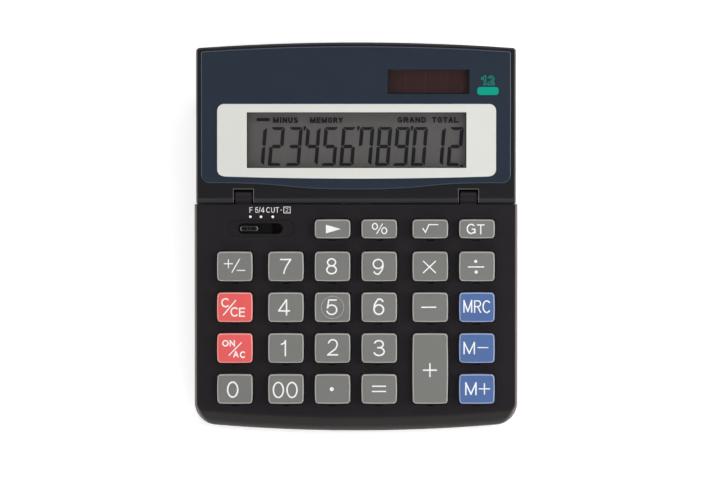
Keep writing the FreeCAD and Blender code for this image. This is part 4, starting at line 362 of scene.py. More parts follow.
def plate(name, shapes, low, high, material, body, step=0.0):
    """Plates between two heights, from outlines with their holes. Each may lie a step above the last."""
    points, faces = [], []
    for index, loops in enumerate(shapes):
        top = high + index * step
        first = len(points)
        flat = [corner for loop in loops for corner in loop]
        points += [(x, y, top) for x, y in flat] + [(x, y, low) for x, y in flat]
        faces += filled(loops, first)
        for number, loop in enumerate(loops):
            for i in range(len(loop)):
                j = (i + 1) % len(loop)
                wall = [first + i, first + i + len(flat), first + j + len(flat), first + j]
                faces.append(wall[::-1] if number else wall)
            first += len(loop)
    return place_piece(name, points, faces, material, body)


print("plates are drawn anticlockwise, in deck millimetres")

# %% [markdown]
# ## The lens
# One sheet of acrylic covers the head. It is clear, and printed from behind in navy and white, so from
# outside the print looks like gloss paint, except in two clear windows. Real glass shading all over would
# only darken the print, so the printed part is an opaque glossy piece, and each window gets a clear pane.
# The lens has a bowed rear, straight sides, and a front that swings out between the hinges. A thin
# chamfer runs round its upper edge and catches the light.

# %% Lens outline
HEAD_HALF, HEAD_REAR, HEAD_BOW, RIM_SIDE, RIM_REAR = 75.0, 182.2, 1060.0, 2.2, 1.6
LENS_FRONT, WAVE_DROP, WAVE_INNER, WAVE_OUTER = 113.25, 2.9, 6.0, 60.0
REAR_CORNER, FRONT_CORNER = 1.0, 4.0


def lens_outline(inset):
    """The lens outline, set in by a distance, anticlockwise from the middle of the rear edge."""
    half = HEAD_HALF - RIM_SIDE - inset
    bow = HEAD_BOW - RIM_REAR - inset
    centre_y = HEAD_REAR - HEAD_BOW
    rear, front = REAR_CORNER - inset, FRONT_CORNER - inset
    rear_y = centre_y + math.sqrt((bow - rear) ** 2 - (half - rear) ** 2)
    lean = math.degrees(math.atan2(half - rear, rear_y - centre_y))
    low, high = LENS_FRONT + inset, LENS_FRONT + inset + WAVE_DROP
    reach = WAVE_OUTER - WAVE_INNER
    swing = (reach ** 2 + WAVE_DROP ** 2) / (4 * WAVE_DROP)
    tilt = math.degrees(math.asin(reach / 2 / swing))
    right = arc(0, centre_y, bow, bow, 90, 90 - lean, 24)[1:]
    right += arc(half - rear, rear_y, rear, rear, 90 - lean, 0, 6)
    right += arc(half - front, high + front, front, front, 0, -90, 10)
    right += arc(WAVE_OUTER, high - swing, swing, swing, 90, 90 + tilt, 12)
    right += arc(WAVE_INNER, low + swing, swing, swing, tilt - 90, -90, 12)
    left = [(-x, y) for x, y in reversed(right)]
    return ([(0, centre_y + bow)] + right + left)[::-1]


print("lens", 2 * (HEAD_HALF - RIM_SIDE), "mm wide, with", len(lens_outline(0.0)), "corners")

# %% A plate with a chamfer


def band(below, above, size):
    """Faces between two rings of corners, from the number of each ring's first corner."""
    return [[below + i, below + (i + 1) % size, above + (i + 1) % size, above + i] for i in range(size)]


def chamfered(name, rings, holes, materials, body):
    """A plate whose outline changes with height, with holes straight through, its last step in a second
    finish.
    """
    points, faces = [], []
    for ring, height in rings:
        points += [(x, y, height) for x, y in ring]
    size = len(rings[0][0])
    for level in range(len(rings) - 1):
        faces += band(level * size, (level + 1) * size, size)
    top_ring, top = rings[-1]
    loops = [top_ring, *holes]
    start = len(points)
    points += [(x, y, top) for loop in loops for x, y in loop]
    faces += filled(loops, start)
    first = start + len(top_ring)
    for hole in holes:
        faces += band(first, len(points), len(hole))
        points += [(x, y, rings[0][1]) for x, y in hole]
        first += len(hole)
    piece = place_piece(name, points, faces, materials[0], body)
    piece.data.materials.append(materials[1])
    for face in piece.data.polygons[(len(rings) - 2) * size:(len(rings) - 1) * size]:
        face.material_index = 1
    return piece


print("a wall round a box has", len(band(0, 4, 4)), "faces")

# %% [markdown]
# ## Print behind acrylic
# Back-printed acrylic is very smooth (roughness 0.07, index of refraction 1.49). The ink lies flat, with
# a faint mottle, and the sheet over it waves a little, which breaks up its reflections. The white frame is
# a warm white ink. The chamfer is sawn, not polished, so it is rougher, and its lighter colour is a painted
# highlight. The clear windows carry fine dust.

# %% Lens finishes
ACRYLIC_IOR = 1.49


def back_print(name, colour, roughness=0.07, mottle=0.03):
    """Ink seen through polished acrylic."""
    material, tree, shader = finish(name, Roughness=roughness, IOR=ACRYLIC_IOR)
    place = add(tree, "TexCoord").outputs["Object"]
    ink = add(tree, "TexNoise", Vector=place, Scale=60, Detail=4)
    level = add(tree, "MapRange", Value=ink, _1=CLOUD_LOW, _2=CLOUD_HIGH, _3=1 - mottle, _4=1 + mottle)
    shade = add(tree, "VectorMath", operation="SCALE", _0=linear(colour)[:3], Scale=level)
    ripple = add(tree, "TexNoise", Vector=place, Scale=90, Detail=1)
    relief = add(tree, "Bump", Height=ripple, Distance=0.01 * MM, Strength=0.3)
    feed(tree, shader, Base_Color=shade, Normal=relief)
    return material


navy_print = back_print("acrylic_navy_print", "29333F")
# The chamfer's lighter colour is a painted highlight. Its roughness is that of a sawn edge.
chamfer_highlight = back_print("acrylic_chamfer_highlight", "454E5C", roughness=0.3)
white_print = back_print("acrylic_white_print", "E2E2DD", mottle=0.01)
teal_print = back_print("acrylic_teal_print", "0AA089")
clear_acrylic, clear_tree, clear_shader = finish(
    "acrylic_clear", Base_Color=linear("0C0E11"), Roughness=0.03, IOR=ACRYLIC_IOR, Alpha=0.12,
)
place = add(clear_tree, "TexCoord").outputs["Object"]
dust = add(clear_tree, "TexNoise", Vector=place, Scale=400, Detail=2)
haze = add(clear_tree, "MapRange", Value=dust, _1=0.4, _2=0.8, _3=0.02, _4=0.08)
feed(clear_tree, clear_shader, Roughness=haze)
print("five lens finishes")

# %% The white frame's outline
WHITE_HALF, WHITE_TOP, WHITE_LOW, WHITE_SAG, WHITE_CORNER, WHITE_SHIFT = 65.4, 153.4, 119.5, 1.1, 3.2, 0.3


def white_outline():
    """The white frame: straight sides, a gently bowed lower edge and round corners."""
    half, corner = WHITE_HALF, WHITE_CORNER
    bow = (half ** 2 + WHITE_SAG ** 2) / (2 * WHITE_SAG)
    spread = math.degrees(math.asin((half - corner) / bow))
    loop = arc(0, WHITE_LOW - WHITE_SAG + bow, bow, bow, -90 - spread, -90 + spread, 24)
    for side, height, start in (
        (1, WHITE_LOW + corner, -90), (1, WHITE_TOP - corner, 0),
        (-1, WHITE_TOP - corner, 90), (-1, WHITE_LOW + corner, 180),
    ):
        loop += arc(side * (half - corner), height, corner, corner, start, start + 90, 8)
    return [(x + WHITE_SHIFT, y) for x, y in loop]


white = white_outline()
print("white frame", 2 * WHITE_HALF, "mm wide")

# %% Lens pieces
WINDOW_BOX, SOLAR_BOX = (0.3, 136.45, 103.0, 26.1), (34.05, 163.8, 38.3, 11.4)
WINDOW, SOLAR = box_loop(*WINDOW_BOX), box_loop(*SOLAR_BOX)
LENS_LOW = HEAD_TOP - LENS_THICK
CHAMFER_IN, CHAMFER_DEEP, PANE_LIFT = 0.5, 0.35, 0.02

edge, top_edge = lens_outline(0.0), lens_outline(CHAMFER_IN)
rings = [(edge, LENS_LOW), (edge, HEAD_TOP - CHAMFER_DEEP), (top_edge, HEAD_TOP)]
lens = chamfered("printed_lens", rings, [white, SOLAR], (navy_print, chamfer_highlight), "display_head")
white_frame = plate("white_frame", [(white, WINDOW)], LENS_LOW, HEAD_TOP, white_print, "display_head")
panes = []
for label, window in (("display_pane", WINDOW), ("solar_pane", SOLAR)):
    corners = [(x, y, height) for height in (LENS_LOW + PANE_LIFT, HEAD_TOP) for x, y in window]
    faces = [[0, 3, 2, 1], [4, 5, 6, 7], *band(0, 4, 4)]
    panes.append(place_piece(label, corners, faces, clear_acrylic, "display_head"))
for piece in (lens, white_frame, *panes):
    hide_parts("display_lens")
print("lens in", 2 + len(panes), "pieces")

# %% [markdown]
# ## A stroke font
# Legends are pad-printed in a plain sans serif of even weight. Blender's text objects would give a font of
# their own, with other widths. So a glyph is a few strokes in a box one unit wide and high, which can be
# fitted to each legend's real size: a pair is a point, six numbers are an arc of an ellipse. Each stroke
# becomes a ribbon with square ends. Those marked ~ go smoothly through their points, and the others turn
# with a mitre.

# %% Glyphs
RING = [(0.5, 0.5, 0.5, 0.5, 90, 450)]
GLYPHS = {
    "0": [("~", RING)],
    "1": [[(1, 0), (1, 1)], ("~", [(0, 0.765), (0.42, 0.8), (0.8, 0.88), (1, 1)])],
    "2": [
        ("~", [(0.49, 0.71, 0.48, 0.29, 172, -22), (0.8, 0.41), (0.47, 0.25), (0.13, 0.1), (0.03, 0)]),
        [(-0.05, 0), (1, 0)],
    ],
    "3": [
        ("~", [(0.47, 0.76, 0.43, 0.24, 168, -80), (0.38, 0.525)]),
        ("~", [(0.38, 0.525), (0.49, 0.265, 0.5, 0.265, 82, -170)]),
    ],
    "4": [[(0.74, 0), (0.74, 1)], [(0.7, 0.98), (0, 0.28)], [(0, 0.26), (1, 0.26)]],
    "5": [[(0.93, 1), (0.2, 1), (0.08, 0.46)], ("~", [(0.5, 0.325, 0.5, 0.325, 150, -168)])],
    "6": [
        ("~", [(0.5, 0.31, 0.5, 0.31, 0, 360)]),
        ("~", [(0.56, 0.73, 0.4, 0.27, 18, 110), (0.13, 0.74), (0.01, 0.5), (0, 0.31)]),
    ],
    "7": [[(0, 1), (1, 1)], ("~", [(1, 0.99), (0.68, 0.66), (0.42, 0.3), (0.3, 0)])],
    "8": [("~", [(0.5, 0.765, 0.42, 0.235, 0, 360)]), ("~", [(0.5, 0.265, 0.5, 0.265, 0, 360)])],
    "+": [[(0, 0.5), (1, 0.5)], [(0.5, 0), (0.5, 1)]],
    "-": [[(0, 0.5), (1, 0.5)]],
    "x": [[(0, 0), (1, 1)], [(0, 1), (1, 0)]],
    "/": [[(0, 0), (1, 1)]],
    "root": [[(0.03, 0.5), (0.19, 0.03), (0.42, 1), (1, 1)]],
    "A": [[(0, 0), (0.47, 1)], [(1, 0), (0.53, 1)], [(0.2, 0.32), (0.8, 0.32)]],
    "C": [("~", [(0.52, 0.5, 0.52, 0.5, 40, 320)])],
    "D": [
        [(0, 0), (0, 1)],
        ("~", [(0, 1), (0.35, 1), (0.4, 0.5, 0.6, 0.5, 80, -80), (0.35, 0), (0, 0)]),
    ],
    "E": [[(1, 1), (0, 1), (0, 0), (1, 0)], [(0, 0.53), (0.92, 0.53)]],
    "F": [[(1, 1), (0, 1), (0, 0)], [(0, 0.5), (0.9, 0.5)]],
    "G": [("~", [(0.5, 0.5, 0.5, 0.5, 40, 318)]), [(0.55, 0.46), (0.98, 0.46), (0.98, 0)]],
    "I": [[(0.5, 0), (0.5, 1)]],
    "L": [[(0, 1), (0, 0), (1, 0)]],
    "M": [[(0, 0), (0, 1)], [(0, 1), (0.5, 0.04)], [(1, 1), (0.5, 0.04)], [(1, 0), (1, 1)]],
    "N": [[(0, 0), (0, 1)], [(0, 1), (1, 0)], [(1, 0), (1, 1)]],
    "O": [("~", RING)],
    "R": [
        [(0, 0), (0, 1)], [(0.5, 0.5), (0.98, 0)],
        ("~", [(0, 1), (0.5, 1), (0.58, 0.75, 0.4, 0.25, 80, -80), (0.5, 0.5), (0, 0.5)]),
    ],
    "S": [("~", [(0.5, 0.75, 0.46, 0.25, 22, 250), (0.5, 0.25, 0.5, 0.25, 70, -160)])],
    "T": [[(0, 1), (1, 1)], [(0.5, 0), (0.5, 1)]],
    "U": [[(0, 0.36), (0, 1)], [(1, 0.36), (1, 1)], ("~", [(0.5, 0.36, 0.5, 0.36, 180, 360)])],
    "Y": [[(0, 1), (0.5, 0.44)], [(1, 1), (0.5, 0.44)], [(0.5, 0), (0.5, 0.5)]],
}


def turned_over(part):
    """A point or an arc of a glyph, turned by half a turn about the middle of its box."""
    x, y, *rest = part
    return (1 - x, 1 - y, rest[0], rest[1], rest[2] + 180, rest[3] + 180) if rest else (1 - x, 1 - y)


GLYPHS["9"] = [(kind, [turned_over(part) for part in run]) for kind, run in GLYPHS["6"]]
print(len(GLYPHS), "glyphs")

# %% From strokes to ribbons
CURVE_STEPS, CORNER_LIMIT, STRETCH_LIMIT = 4, 0.3, 2.2


def stroke_points(run, smooth, to_box):
    """A stroke's points in its box. A curved one is made smooth between them."""
    points = []
    for part in run:
        points += [part] if len(part) == 2 else arc(*part, max(8, int(abs(part[5] - part[4]) / 12)))
    points = [Vector(to_box(*point)) for point in points]
    closed = (points[0] - points[-1]).length < 1e-6
    if closed or not smooth:
        return points[:-1] if closed else points, closed
    curve = []
    for i in range(len(points) - 1):
        before, after = points[max(i - 1, 0)], points[min(i + 2, len(points) - 1)]
        a, b = points[i], points[i + 1]
        pull_a, pull_b = (b - before) / 2, (after - a) / 2
        for step in range(CURVE_STEPS):
            t = step / CURVE_STEPS
            curve.append(
                a * (2 * t ** 3 - 3 * t ** 2 + 1) + pull_a * (t ** 3 - 2 * t ** 2 + t)
                + b * (3 * t ** 2 - 2 * t ** 3) + pull_b * (t ** 3 - t ** 2)
            )
    return curve + [points[-1]], False


def ribbon(points, closed, weight):
    """A band of one width along points, as four-cornered outlines."""
    count = len(points)
    sides = []
    for i, point in enumerate(points):
        ahead = points[(i + 1) % count] - point if closed or i < count - 1 else point - points[i - 1]
        back = point - points[i - 1] if closed or i > 0 else ahead
        across = (ahead.normalized() + back.normalized()).normalized().orthogonal()
        square = ahead.normalized().orthogonal()
        stretch = min(1 / max(across.dot(square), CORNER_LIMIT), STRETCH_LIMIT)
        sides.append((point + across * weight / 2 * stretch, point - across * weight / 2 * stretch))
    pairs = list(zip(sides, sides[1:] + sides[:1] if closed else sides[1:]))
    return [[tuple(a[1]), tuple(b[1]), tuple(b[0]), tuple(a[0])] for a, b in pairs]


def glyph(name, x, y, wide, high, weight):
    """The strokes of a glyph whose ink fills a box with this centre and size."""
    span_x, span_y = max(wide - weight, 0), max(high - weight, 0)

    def to_box(u, v):
        return (x + (u - 0.5) * span_x, y + (v - 0.5) * span_y)

    strokes = []
    for run in GLYPHS[name]:
        smooth = run[0] == "~"
        points, closed = stroke_points(run[1] if smooth else run, smooth, to_box)
        if not closed and name not in "CGS":
            # Square ends reach half a weight past the last point, as the ink box does.
            for end, inner in ((0, 1), (-1, -2)):
                reach = (points[end] - points[inner]).normalized() * weight / 2
                if not smooth or abs(reach.x) > abs(reach.y):
                    points[end] = points[end] + reach
        strokes.append(ribbon(points, closed, weight))
    return strokes


print("the letter R has", len(glyph("R", 0, 0, 3.4, 5.9, 0.58)), "strokes")

# %% [markdown]
# ## Printing
# Every printed mark on this calculator is a list of strokes, and each stroke a list of outlines. The ink is
# about 0.02 mm thick. Strokes cross each other, and two faces at one height would flicker in a picture, so
# each stroke lies a hair above the last.

# %% Print
INK, STROKE_LIFT = 0.02, 0.002


def print_shapes(name, strokes, low, material, body):
    """Ink for a list of strokes."""
    points, faces = [], []
    for index, stroke in enumerate(strokes):
        top = low + INK + index * STROKE_LIFT
        for outline in stroke:
            start, size = len(points), len(outline)
            if signed_area(outline) < 0:
                outline = outline[::-1]
            points += [(x, y, top) for x, y in outline] + [(x, y, low) for x, y in outline]
            faces.append(list(range(start, start + size)))
            faces += [
                [start + i, start + size + i, start + size + (i + 1) % size, start + (i + 1) % size]
                for i in range(size)
            ]
    return place_piece(name, points, faces, material, body)


pad_ink = mottled("pad_printed_white_ink", "F2F3F2", "FFFFFF", 900, Roughness=0.45, IOR=1.5)[0]
print("ink", INK, "mm thick")

# %% [markdown]
# ## Key legends
# The legends are white pad-printing ink. Each one is given in millimetres from the middle of its key:
# glyph, centre, width, height and weight of line. A spot is a full stop, and the corrector key has a solid
# arrow head. One type size for all keys would be simpler, but the real legends differ from key to key.

# %% Legend table
COLUMNS = [-56.85, -32.9, -11.0, 10.9, 34.85, 56.75]
ROWS = [19.6, 38.8, 58.0, 77.2, 94.8]
LEGENDS = {
    "0": (0, 0, [("0", -1.04, -0.24, 5.5, 7.8, 0.75)]),
    "double_zero": (1, 0, [("0", -3.55, -0.41, 5.4, 7.8, 0.74), ("0", 2.86, -0.41, 5.4, 7.8, 0.74)]),
    "point": (2, 0, [("spot", -0.36, -0.04, 1.9, 0, 0)]),
    "equals": (3, 0, [("-", -0.1, 1.32, 6.5, 0.66, 0.62), ("-", -0.1, -1.13, 6.67, 0.66, 0.62)]),
    "memory_plus": (5, 0, [("M", -2.79, 0.15, 5.42, 6.1, 0.66), ("+", 3.54, 0.12, 5.27, 5.38, 0.56)]),
    "on_clear": (0, 1, [
        ("O", -4.43, 2.33, 3.05, 3.1, 0.6), ("N", -1.2, 2.33, 2.5, 3.0, 0.6),
        ("/", 0.15, -0.35, 6.26, 6.38, 0.5),
        ("A", 0.48, -2.84, 2.5, 2.9, 0.58), ("C", 3.73, -3.01, 2.74, 3.2, 0.6),
    ]),
    "1": (1, 1, [("1", -1.16, 0.06, 2.51, 7.7, 0.7)]),
    "2": (2, 1, [("2", 0.15, 0.45, 4.97, 7.8, 0.7)]),
    "3": (3, 1, [("3", -0.04, 0.09, 5.5, 7.7, 0.74)]),
    "memory_minus": (5, 1, [("M", -3.61, 0.1, 5.41, 5.9, 0.6), ("-", 2.85, 0.31, 5.07, 0.7, 0.5)]),
    "clear_entry": (0, 2, [
        ("C", -4.4, 2.18, 4.0, 4.4, 0.68), ("/", -2.5, -0.14, 6.25, 7.31, 0.54),
        ("C", -0.14, -2.09, 3.9, 4.5, 0.68), ("E", 3.37, -2.29, 2.85, 4.3, 0.62),
    ]),
    "4": (1, 2, [("4", -0.87, 0.03, 5.59, 7.7, 0.7)]),
    "5": (2, 2, [("5", -0.38, 0.1, 5.4, 7.47, 0.72)]),
    "6": (3, 2, [("6", -0.21, 0.34, 5.21, 7.9, 0.77)]),
    "minus": (4, 2, [("-", -0.73, 0.06, 7.0, 0.66, 0.62)]),
    "memory_recall": (5, 2, [
        ("M", -4.28, 0.53, 4.2, 5.98, 0.61), ("R", 0.32, 0.41, 3.4, 5.9, 0.58),
        ("C", 4.57, 0.35, 4.0, 6.05, 0.62),
    ]),
    "sign": (0, 3, [
        ("+", -3.02, 1.31, 4.28, 4.22, 0.48), ("/", 0.45, 0.37, 4.0, 6.55, 0.52),
        ("-", 2.91, -1.82, 3.95, 0.7, 0.48),
    ]),
    "7": (1, 3, [("7", -0.1, -0.09, 5.3, 7.42, 0.65)]),
    "8": (2, 3, [("8", -0.46, 0.12, 5.15, 7.7, 0.7)]),
    "9": (3, 3, [("9", -0.51, -0.1, 5.21, 7.58, 0.7)]),
    "multiply": (4, 3, [("x", -0.39, -0.2, 6.18, 5.9, 0.56)]),
    "divide": (5, 3, [
        ("-", -0.47, -0.18, 7.65, 0.7, 0.56),
        ("spot", -0.6, 2.42, 1.55, 0, 0), ("spot", -0.36, -2.59, 1.55, 0, 0),
    ]),
    "correct": (2, 4, [("arrow", 0.39, 0, 7.0, 4.07, 0)]),
    "percent": (3, 4, [
        ("0", -2.03, 1.25, 2.9, 3.3, 0.55), ("/", 0.15, 0.1, 3.05, 4.95, 0.45),
        ("0", 2.36, -0.75, 2.9, 3.35, 0.55),
    ]),
    "square_root": (4, 4, [("root", -0.09, 0.21, 7.65, 4.25, 0.52)]),
    "grand_total": (5, 4, [("G", -2.74, 0.08, 4.3, 4.9, 0.64), ("T", 1.78, -0.13, 3.61, 4.72, 0.58)]),
    "plus": (4, None, [("+", -0.15, -0.7, 6.62, 6.57, 0.68)]),
}
print(len(LEGENDS), "legends in", len(COLUMNS), "columns")

# %% Legends


def legend_strokes(parts, x, y):
    """The strokes of a legend about a point."""
    strokes = []
    for name, dx, dy, wide, high, weight in parts:
        if name == "spot":
            strokes.append([disc(x + dx, y + dy, wide / 2)])
        elif name == "arrow":
            left, right = x + dx - wide / 2, x + dx + wide / 2
            strokes.append([[(left, y + dy - high / 2), (right, y + dy), (left, y + dy + high / 2)]])
        else:
            strokes += glyph(name, x + dx, y + dy, wide, high, weight)
    return strokes


for name, (column, row, parts) in LEGENDS.items():
    # The tall key has no row of its own: it fills the two front rows.
    x, y = COLUMNS[column], (ROWS[0] + ROWS[1]) / 2 if row is None else ROWS[row]
    print_shapes(f"legend_{name}", legend_strokes(parts, x, y), KEY_TOP, pad_ink, f"{name}_button")
print(len(LEGENDS), "key legends printed")

# %% [markdown]
# ## The middle key
# A raised ring helps the finger to find the middle key. A thin lighter band on the crest of the CAD ring is
# a painted highlight, where the round crest catches the light. A mask in the key's material could lighten
# it too, but a band is simpler, and exact.

# %% Ring crest
RING_RADIUS, RING_WIDE, RING_RISE, RING_CORNERS = 5.25, 0.34, 0.25, 72
# The crest band's lighter colour is a painted highlight.
crest_highlight = soft("abs_grey_crest_highlight", "A9A8A3", "B4B3AE", 0.3, 700)
ring = tuple(
    disc(COLUMNS[2], ROWS[2], RING_RADIUS + side * RING_WIDE / 2, RING_CORNERS) for side in (1, -1)
)
plate("key_5_ring_crest", [ring], KEY_TOP + RING_RISE, KEY_TOP + RING_RISE + INK, crest_highlight, "5_button")
print("ring crest", RING_WIDE, "mm wide")

# %% [markdown]
# ## The number display
# A reflective liquid crystal panel: a warm grey polariser film with nearly black digits under its glass.
# Each digit has seven segments, bars with mitred ends that lean by about five degrees. The words above
# them are fixed segments of the same ink. An image of the digits would blur when the camera comes near,
# so each bar is an outline of its own.

# %% The bars of a digit
DIGIT_LOW, DIGIT_HIGH, DIGIT_WIDE, LEAN = 124.25, 142.5, 6.65, math.tan(math.radians(4.8))
BAR, THIN, SPLIT, BASE_SHIFT = 1.68, 1.4, 0.14, -0.3
SEGMENTS = {
    "0": "abcdef", "1": "bc", "2": "abged", "3": "abgcd", "4": "fgbc", "5": "afgcd", "6": "afgedc",
    "7": "fabc", "8": "abcdefg", "9": "abcdfg",
}


def mirrored(half_bar):
    """A bar from its left half, read from the inner edge to the outer one."""
    return half_bar + [(DIGIT_WIDE - x, y) for x, y in reversed(half_bar)]


def digit_strokes(digit, left):
    """The bars of one digit. Its lower left corner stands at a place on the baseline."""
    mid = (DIGIT_HIGH - DIGIT_LOW) / 2
    side_bar = [
        (0, mid - SPLIT - 0.35), (BAR / 3, mid - SPLIT - BAR / 3), (BAR, mid - BAR - SPLIT),
        (BAR, BAR / 2 + SPLIT), (BAR / 2, SPLIT), (0, SPLIT + 0.25),
    ]
    half, tip = BAR / 2, BAR / 2 + SPLIT
    mid_bar = [
        (tip, 0), (tip + half, half), (DIGIT_WIDE - tip - half, half), (DIGIT_WIDE - tip, 0),
        (DIGIT_WIDE - tip - half, -half), (tip + half, -half),
    ]
    low_bar = mirrored([(1.45, THIN - mid), (0.3, 0.65 - mid), (0.85, -mid)])
    bars = {
        "a": mirrored([(BAR + SPLIT, mid - THIN), (0.4, mid - 0.4), (0.75, mid)]),
        "b": [(DIGIT_WIDE - x, y) for x, y in side_bar],
        "c": [(DIGIT_WIDE - x, -y) for x, y in side_bar],
        "d": [(x + BASE_SHIFT, y) for x, y in low_bar],
        "e": [(x, -y) for x, y in side_bar],
        "f": side_bar,
        "g": mid_bar,
    }
    return [
        [[(left + x + (y + mid) * LEAN, DIGIT_LOW + mid + y) for x, y in bars[letter]]]
        for letter in SEGMENTS[digit]
    ]


lcd_ink = mottled("liquid_crystal_segment", "1C1C22", "222228", 120, Roughness=0.32, IOR=1.5)[0]
print("an eight has", len(digit_strokes("8", 0)), "bars")

# %% Display content
FIRST_DIGIT, DIGIT_PITCH, SHOWN = -49.86, 8.394, "123456789012"
COMMAS, COMMA_PLACE = (2, 5, 8), 8.3
COMMA = (
    (0.35, 140.4), (0.75, 140.9), (1.4, 142.0), (1.35, 142.7),
    (0.95, 143.0), (0.4, 143.0), (0.05, 142.6), (0.15, 141.9),
)
FULL_STOP, MINUS_BAR = (49.6, 124.35, 1.25, 0.9), (-43.6, 146.0, 6.1, 1.4)
WORDS = (
    ("MINUS", -38.9, 11.7, 145.75), ("MEMORY", -21.6, 15.4, 145.75),
    ("GRAND", 19.5, 13.4, 145.9), ("TOTAL", 35.7, 12.4, 145.9),
)
LETTER_WIDE, LETTER_GAP, LETTER_HIGH, LETTER_WEIGHT = {"I": 0.45, "M": 1.25}, 0.22, 2.65, 0.68

shown = []
for index, digit in enumerate(SHOWN):
    shown += digit_strokes(digit, FIRST_DIGIT + index * DIGIT_PITCH)
for index in COMMAS:
    x = FIRST_DIGIT + index * DIGIT_PITCH + COMMA_PLACE
    shown.append([[(x + dx, y) for dx, y in COMMA]])
shown += [[box_loop(*FULL_STOP)], [box_loop(*MINUS_BAR)]]
for word, x, long, y in WORDS:
    widths = [LETTER_WIDE.get(letter, 1.0) for letter in word]
    unit = long / (sum(widths) + LETTER_GAP * (len(word) - 1))
    for letter, share in zip(word, widths):
        shown += glyph(letter, x + share * unit / 2, y, share * unit, LETTER_HIGH, LETTER_WEIGHT)
        x += (share + LETTER_GAP) * unit
segments = print_shapes("display_segments", shown, PANEL_TOP, lcd_ink, "display_head")
print(len(shown), "strokes on the display")

# %% [markdown]
# ## The polariser and the solar cell
# The film over the panel is not quite even: it has a soft satin gloss and a very faint vertical grain. The
# solar cell is amorphous silicon on glass, a dark brown that is evaporated in stripes, with thin contacts
# between its four fields. Both tones come from noise that is stretched along one side. The contacts are
# thin lines, which are printed like the rest.

# %% Panel and cells
panel_film = mottled(
    "polariser_film_grey", "716D6C", "797575", 1, stretch=(900, 60, 60), Roughness=0.28, IOR=1.5,
)[0]
amorphous = mottled(
    "amorphous_silicon_brown", "462F2E", "503634", 1, detail=3, stretch=(700, 40, 40),
    Roughness=0.12, IOR=1.52,
)[0]
cell_gap = mottled(
    "silver_cell_contact", "4A3430", "5A4440", 500, Roughness=0.35, IOR=1.5, Metallic=0.6,
)[0]
CONTACTS, CONTACT_Y, CONTACT_LONG = ((23.5, 0.22), (32.6, 0.22), (42.4, 0.22), (51.9, 1.3)), 164.0, 12.6
contacts = [[box_loop(x, CONTACT_Y, wide, CONTACT_LONG)] for x, wide in CONTACTS]
lines = print_shapes("solar_cell_contacts", contacts, PANEL_TOP, cell_gap, "display_head")
print("solar cell with", len(contacts) - 1, "division lines")

# %% [markdown]
# ## The edge of the window
# A narrow dark brown frame under the window's rim is painted shade, where the recess shades the edge of
# the panel. It is cut like any plate.

# %% Painted window shade
SHADE_BAND = 0.35
# The dark brown strip is painted shade.
window_shade_finish = soft("brown_window_shade", "352724", "40302C", 0.8, 900)
window_x, window_y, window_wide, window_deep = WINDOW_BOX
inner_edge = box_loop(window_x, window_y, window_wide - 2 * SHADE_BAND, window_deep - 2 * SHADE_BAND)
plate("display_window_shade", [(WINDOW, inner_edge)], PANEL_TOP, LENS_LOW, window_shade_finish, "display_head")
print("shade_band", SHADE_BAND, "mm wide")

# %% [markdown]
# ## The emblem
# At the right of the solar window the print has a plain outlined number over a solid pill, in teal. It is
# printed behind the lens like the rest, so it lies flush with it. An outline font would need a second
# drawing of each figure. Here a bold figure in teal gets a thinner one in navy on top of it, and what is
# left between them is the outline.

# %% Emblem
BOLD, CORE = 1.1, 0.54
NUMBER, NUMBER_Y, NUMBER_HIGH = (("1", 59.85, 2.3), ("2", 63.35, 3.25)), 164.5, 4.5
PILL = (61.85, 159.5, 9.95, 3.7, 1.3)
emblem, core = [], []
for sign, x, wide in NUMBER:
    emblem += glyph(sign, x, NUMBER_Y, wide, NUMBER_HIGH, BOLD)
    core += glyph(sign, x, NUMBER_Y, wide - BOLD + CORE, NUMBER_HIGH - BOLD + CORE, CORE)
emblem.append([rounded(*PILL)])
for label, strokes, low, ink in (
    ("lens_emblem", emblem, HEAD_TOP - INK / 2, teal_print),
    ("lens_emblem_core", core, HEAD_TOP, navy_print),
):
    print_shapes(label, strokes, low, ink, "display_head")
print("emblem of", len(emblem) + len(core), "strokes")

# %% [markdown]
# ## Switch marks
# The rounding switch has three positions. Three dots mark them, under a line of small printed signs, the
# last of them in a box. They use the stroke font and the ink of the keys, on the case itself.

# %% Switch marks
DOTS, DOT_Y, DOT_RADIUS = (-49.6, -44.6, -39.1), 100.4, 0.62
SIGNS = (
    ("F", -49.25, 1.45), ("5", -46.65, 1.5), ("/", -45.3, 0.8), ("4", -43.8, 1.7), ("C", -41.2, 1.85),
    ("U", -39.0, 1.65), ("T", -36.95, 1.7),
)
SIGN_Y, SIGN_HIGH, SIGN_WEIGHT, DASH = 103.6, 2.6, 0.27, (-35.1, 0.7, 0.4)
BOXED_X, BOXED_SIZE, BOX_HALF, BOX_SIDES, BOX_LINE = -32.4, (1.2, 1.75, 0.15), (1.52, 1.42), (3.3, 3.1), 0.26

marks = [[disc(x, DOT_Y, DOT_RADIUS)] for x in DOTS]
for sign, x, wide in SIGNS:
    marks += glyph(sign, x, SIGN_Y, wide, SIGN_HIGH, SIGN_WEIGHT)
marks += glyph("-", DASH[0], SIGN_Y, DASH[1], DASH[2], SIGN_WEIGHT)
marks += glyph("2", BOXED_X, SIGN_Y, *BOXED_SIZE)
marks += [[box_loop(BOXED_X, SIGN_Y + side * BOX_HALF[1], BOX_SIDES[0], BOX_LINE)] for side in (-1, 1)]
marks += [[box_loop(BOXED_X + side * BOX_HALF[0], SIGN_Y, BOX_LINE, BOX_SIDES[1])] for side in (-1, 1)]
switch_marks = print_shapes("switch_marks", marks, 0.0, pad_ink, "base")
print(len(marks), "strokes beside the switch")

# %% [markdown]
# ## The thumb ridge
# The rim of the switch's ridge, most of all at its two ends, and the two ribs between them carry a painted
# highlight, where their round edges catch the light. The bright bands lie on the CAD ridge and move with it.
# Their tone grows with the distance from the ridge's middle, which one noise-free ramp gives better than
# separate pieces.

